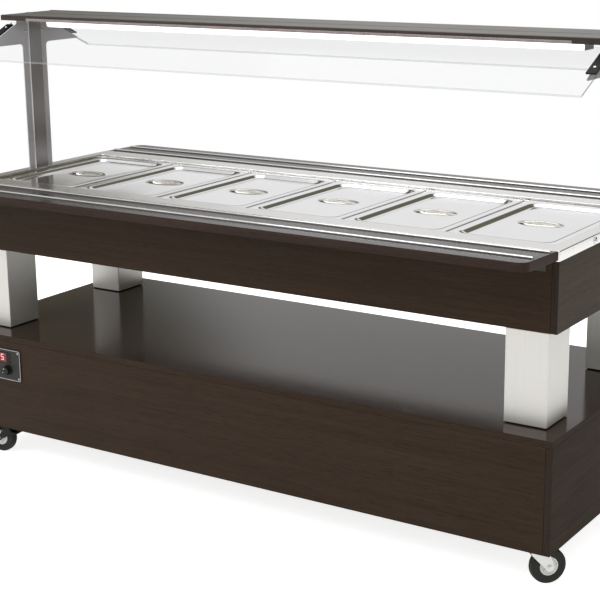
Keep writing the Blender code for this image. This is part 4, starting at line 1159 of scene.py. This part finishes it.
def build_gland():
    place = facing((0, 1, 0), (-0.8, BASE_Y + GAP, 0.22))
    bm = bmesh.new()
    add_turned(bm, [(0, 0), (13.5, 0), (14, 0.6), (14, 9.2), (12.8, 10), (0, 10)], place, 6)
    dome = [(4.5, 6), (11.2, 6), (11.2, 18), (10.4, 22.2), (8.6, 26), (7.4, 27.8), (6, 28), (4.5, 27.2),
            (4.5, 6)]
    add_turned(bm, dome, place, 32)
    add_ribs(bm, place, 16, (0.011, 0.011), (0.011, 0.0175), 0.0008)
    bmesh.ops.remove_doubles(bm, verts=bm.verts, dist=1e-6)
    piece("gland_body", bm, [black_plastic], ["cable_gland"])


def build_valve():
    up = Matrix.Translation((VALVE_X, VALVE_Y, 0))
    bm = bmesh.new()
    add_turned(bm, [(0, 640), (9.2, 640), (10, 640.8), (10, 648), (10.8, 648.4), (10.8, 654), (15, 655),
                    (15.6, 657), (15.6, 681), (15, 683), (10.8, 684), (10.8, 688), (10, 688.4),
                    (10, 751.5), (0, 751.5)], up, 32)
    boss = facing((0, -1, 0), (VALVE_X, VALVE_Y, 0.669))
    add_turned(bm, [(0, 10), (7, 10), (7, 23.2), (6.2, 24), (0, 24)], boss, 24)
    piece("valve_body", bm, [brass], ["drain_valve"])
    bm = bmesh.new()
    add_turned(bm, [(0, 24.3), (7.4, 24.3), (8, 24.9), (8, 29.6), (7.2, 30.3), (0, 30.3)], boss, 24)
    blade = rounded_rect(0.006, 0.029, 0.005, 5)
    face = VALVE_Y - 0.0243 - 0.005
    add_prism(bm, blade, lambda a, b, t: (VALVE_X + a, face + t, 0.6392 + b), 0.003, 0.0006)
    piece("valve_handle", bm, [black_plastic], ["drain_lever"], "drain_lever")


# ---- casters


def build_caster(corner):
    side_y = -1 if corner.startswith("front") else 1
    place = Matrix.Translation((CASTER_X[corner.split("_")[1]], side_y * CASTER_Y, 0))
    place = place @ Matrix.Rotation(radians(HEADINGS[corner]), 4, "Z")
    bm = bmesh.new()
    for leg in (-1, 1):
        outline = mm((-20, 103), (-19, 95), (-16, 88))
        outline += arc((TRAIL, WHEEL_RADIUS), 0.012, 215, 375, 14)
        outline += mm((43, 64), (40, 74), (33, 87), (25, 103))
        low = leg * 0.018 - 0.0014
        add_prism(bm, outline, lambda a, b, t: (a, low + t, b), 0.0028, 0.0007)
    add_box(bm, (-0.0198, -0.0193, 0.101), (0.0255, 0.0193, 0.1035), 0.001)
    bearing = [(0, 103), (20, 103), (21, 104.2), (21, 108.5), (18.8, 110), (18.8, 111.2), (21.2, 112.6),
               (21.2, 118), (19.8, 119.2), (19.8, 127.6), (0, 127.6)]
    add_turned(bm, bearing, Matrix.Identity(4), 36)
    add_box(bm, (-0.0225, -0.0225, 0.125), (0.0225, 0.0225, 0.1277), 0.0008)
    axle = on_axle(-0.0225)
    add_turned(bm, [(0, -0.6), (4.2, -0.6), (5, 0.4), (5, 44.6), (4.2, 45.6), (0, 45.6)], axle, 20)
    add_turned(bm, [(0, 40), (8.2, 40), (8.2, 42.4), (7.4, 43), (0, 43)], axle, 6)
    add_turned(bm, [(0, 1.8), (7.6, 1.8), (8, 2.4), (8, 4), (0, 4)], axle, 20)
    bmesh.ops.transform(bm, matrix=place, verts=bm.verts)
    piece(f"{corner}_yoke", bm, [zinc], [f"{corner}_fork"], f"{corner}_caster")
    build_wheel(corner, place)
    if corner.endswith("left"):
        build_pedal(corner, place)


def on_axle(y):
    """Placement at the wheel's axle, with +Z along the axle."""
    return Matrix.Translation((TRAIL, y, WHEEL_RADIUS)) @ Matrix.Rotation(radians(-90), 4, "X")


def turned_ring(half, axis):
    """Turn a closed profile that is the same on both faces of the wheel."""
    bm = bmesh.new()
    profile = [(r, -h) for r, h in half] + [(r, h) for r, h in reversed(half)]
    add_turned(bm, profile + [profile[0]], axis, 56)
    bmesh.ops.remove_doubles(bm, verts=bm.verts, dist=1e-6)
    return bm


def build_wheel(corner, place):
    """Solid tyre with grooves, round a moulded hub with a raised rim and a bearing."""
    axis = place @ on_axle(0)
    name = f"{corner}_wheel"
    tyre = [(26.2, 11.8), (27.5, 13), (34, 13.4), (44, 13.7), (46.2, 13.2), (48.4, 10.8), (49.6, 8),
            (50, 4.5), (50, 1.6), (49.3, 0.8)]
    piece(f"{name}_tyre", turned_ring(tyre, axis), [tyre_rubber], [name], name)
    hub = [(5.5, 13.9), (10, 13.9), (10.8, 13.2), (11.6, 11.4), (19, 11), (21, 11.4), (22.2, 13.4),
           (25, 13.6), (26, 12.2)]
    bm = turned_ring(hub, axis)
    for side in (-1, 1):
        for k in range(5):
            turn = axis @ Matrix.Rotation(2 * pi * k / 5, 4, "Z")
            add_box(bm, (0.011, -0.0014, side * 0.0108), (0.0215, 0.0014, side * 0.0126), 0.0006, 1, 0, turn)
    piece(f"{name}_hub", bm, [hub_plastic], [name], name)


def polar(points):
    """Points given by radius and angle about the axle, in degrees."""
    return [(TRAIL + r * cos(radians(a)), WHEEL_RADIUS + r * sin(radians(a))) for r, a in points]


def build_pedal(corner, place):
    """Foot brake: curved tread plate on two ears that turn about the axle."""
    bm = bmesh.new()
    under = 0.054
    over = 0.057
    lip = [(0.07, 15.5), (0.0708, 18), (0.07, 21), (over + 0.0035, 24)]
    outline = [(under, 52 - 4 * k) for k in range(10)] + lip + [(over, 28 + 4 * k) for k in range(7)]
    add_prism(bm, polar(outline), lambda a, b, t: (a, -0.0219 + t, b), 0.0438, 0.0006)
    ear = polar([(0.01, 100 + 15 * k) for k in range(17)] + [(0.056, 20), (0.0565, 36), (0.056, 50)])
    for side in (-1, 1):
        sheet = bmesh.new()
        add_prism(sheet, ear, lambda a, b, t: (a, side * (0.0199 + t), b), 0.002, 0.0003)
        bore = bmesh.new()
        add_turned(bore, [(0, -10), (5.4, -10), (5.4, 10), (0, 10)], on_axle(side * 0.021), 20)
        bm.from_mesh(to_mesh("ear", cut(sheet, bore)))
    for k in range(4):
        (x, z), = polar([(over + 0.0002, 30 + 6 * k)])
        add_tube(bm, [(x, -0.018, z), (x, 0.018, z)], 0.0009, 6)
    bmesh.ops.transform(bm, matrix=place, verts=bm.verts)
    name = f"{corner}_brake"
    piece(f"{corner}_pedal", bm, [pedal_plastic], [f"{name}_pedal"], name)


# ---- whole object

build_stage()
build_carcass("base", BASE_X, BASE_Y, BASE_LOW, BASE_HIGH - BOARD - GAP)
build_carcass("box", BOX_X, BOX_Y, BOX_LOW, SKIRT_LOW - GAP)
build_boards()
build_pillars()
build_well()
build_element()
for number, x in enumerate(pan_centres(), start=1):
    build_pan(number, x)
    build_lid(number, x)
for side, row in ROWS:
    build_slide(side, row)
for side, end in ENDS:
    build_upright(side, end)
build_roof()
build_glass()
build_control_plate()
build_display()
build_knob()
build_switch()
build_gland()
build_valve()
for corner in CORNERS:
    build_caster(corner)
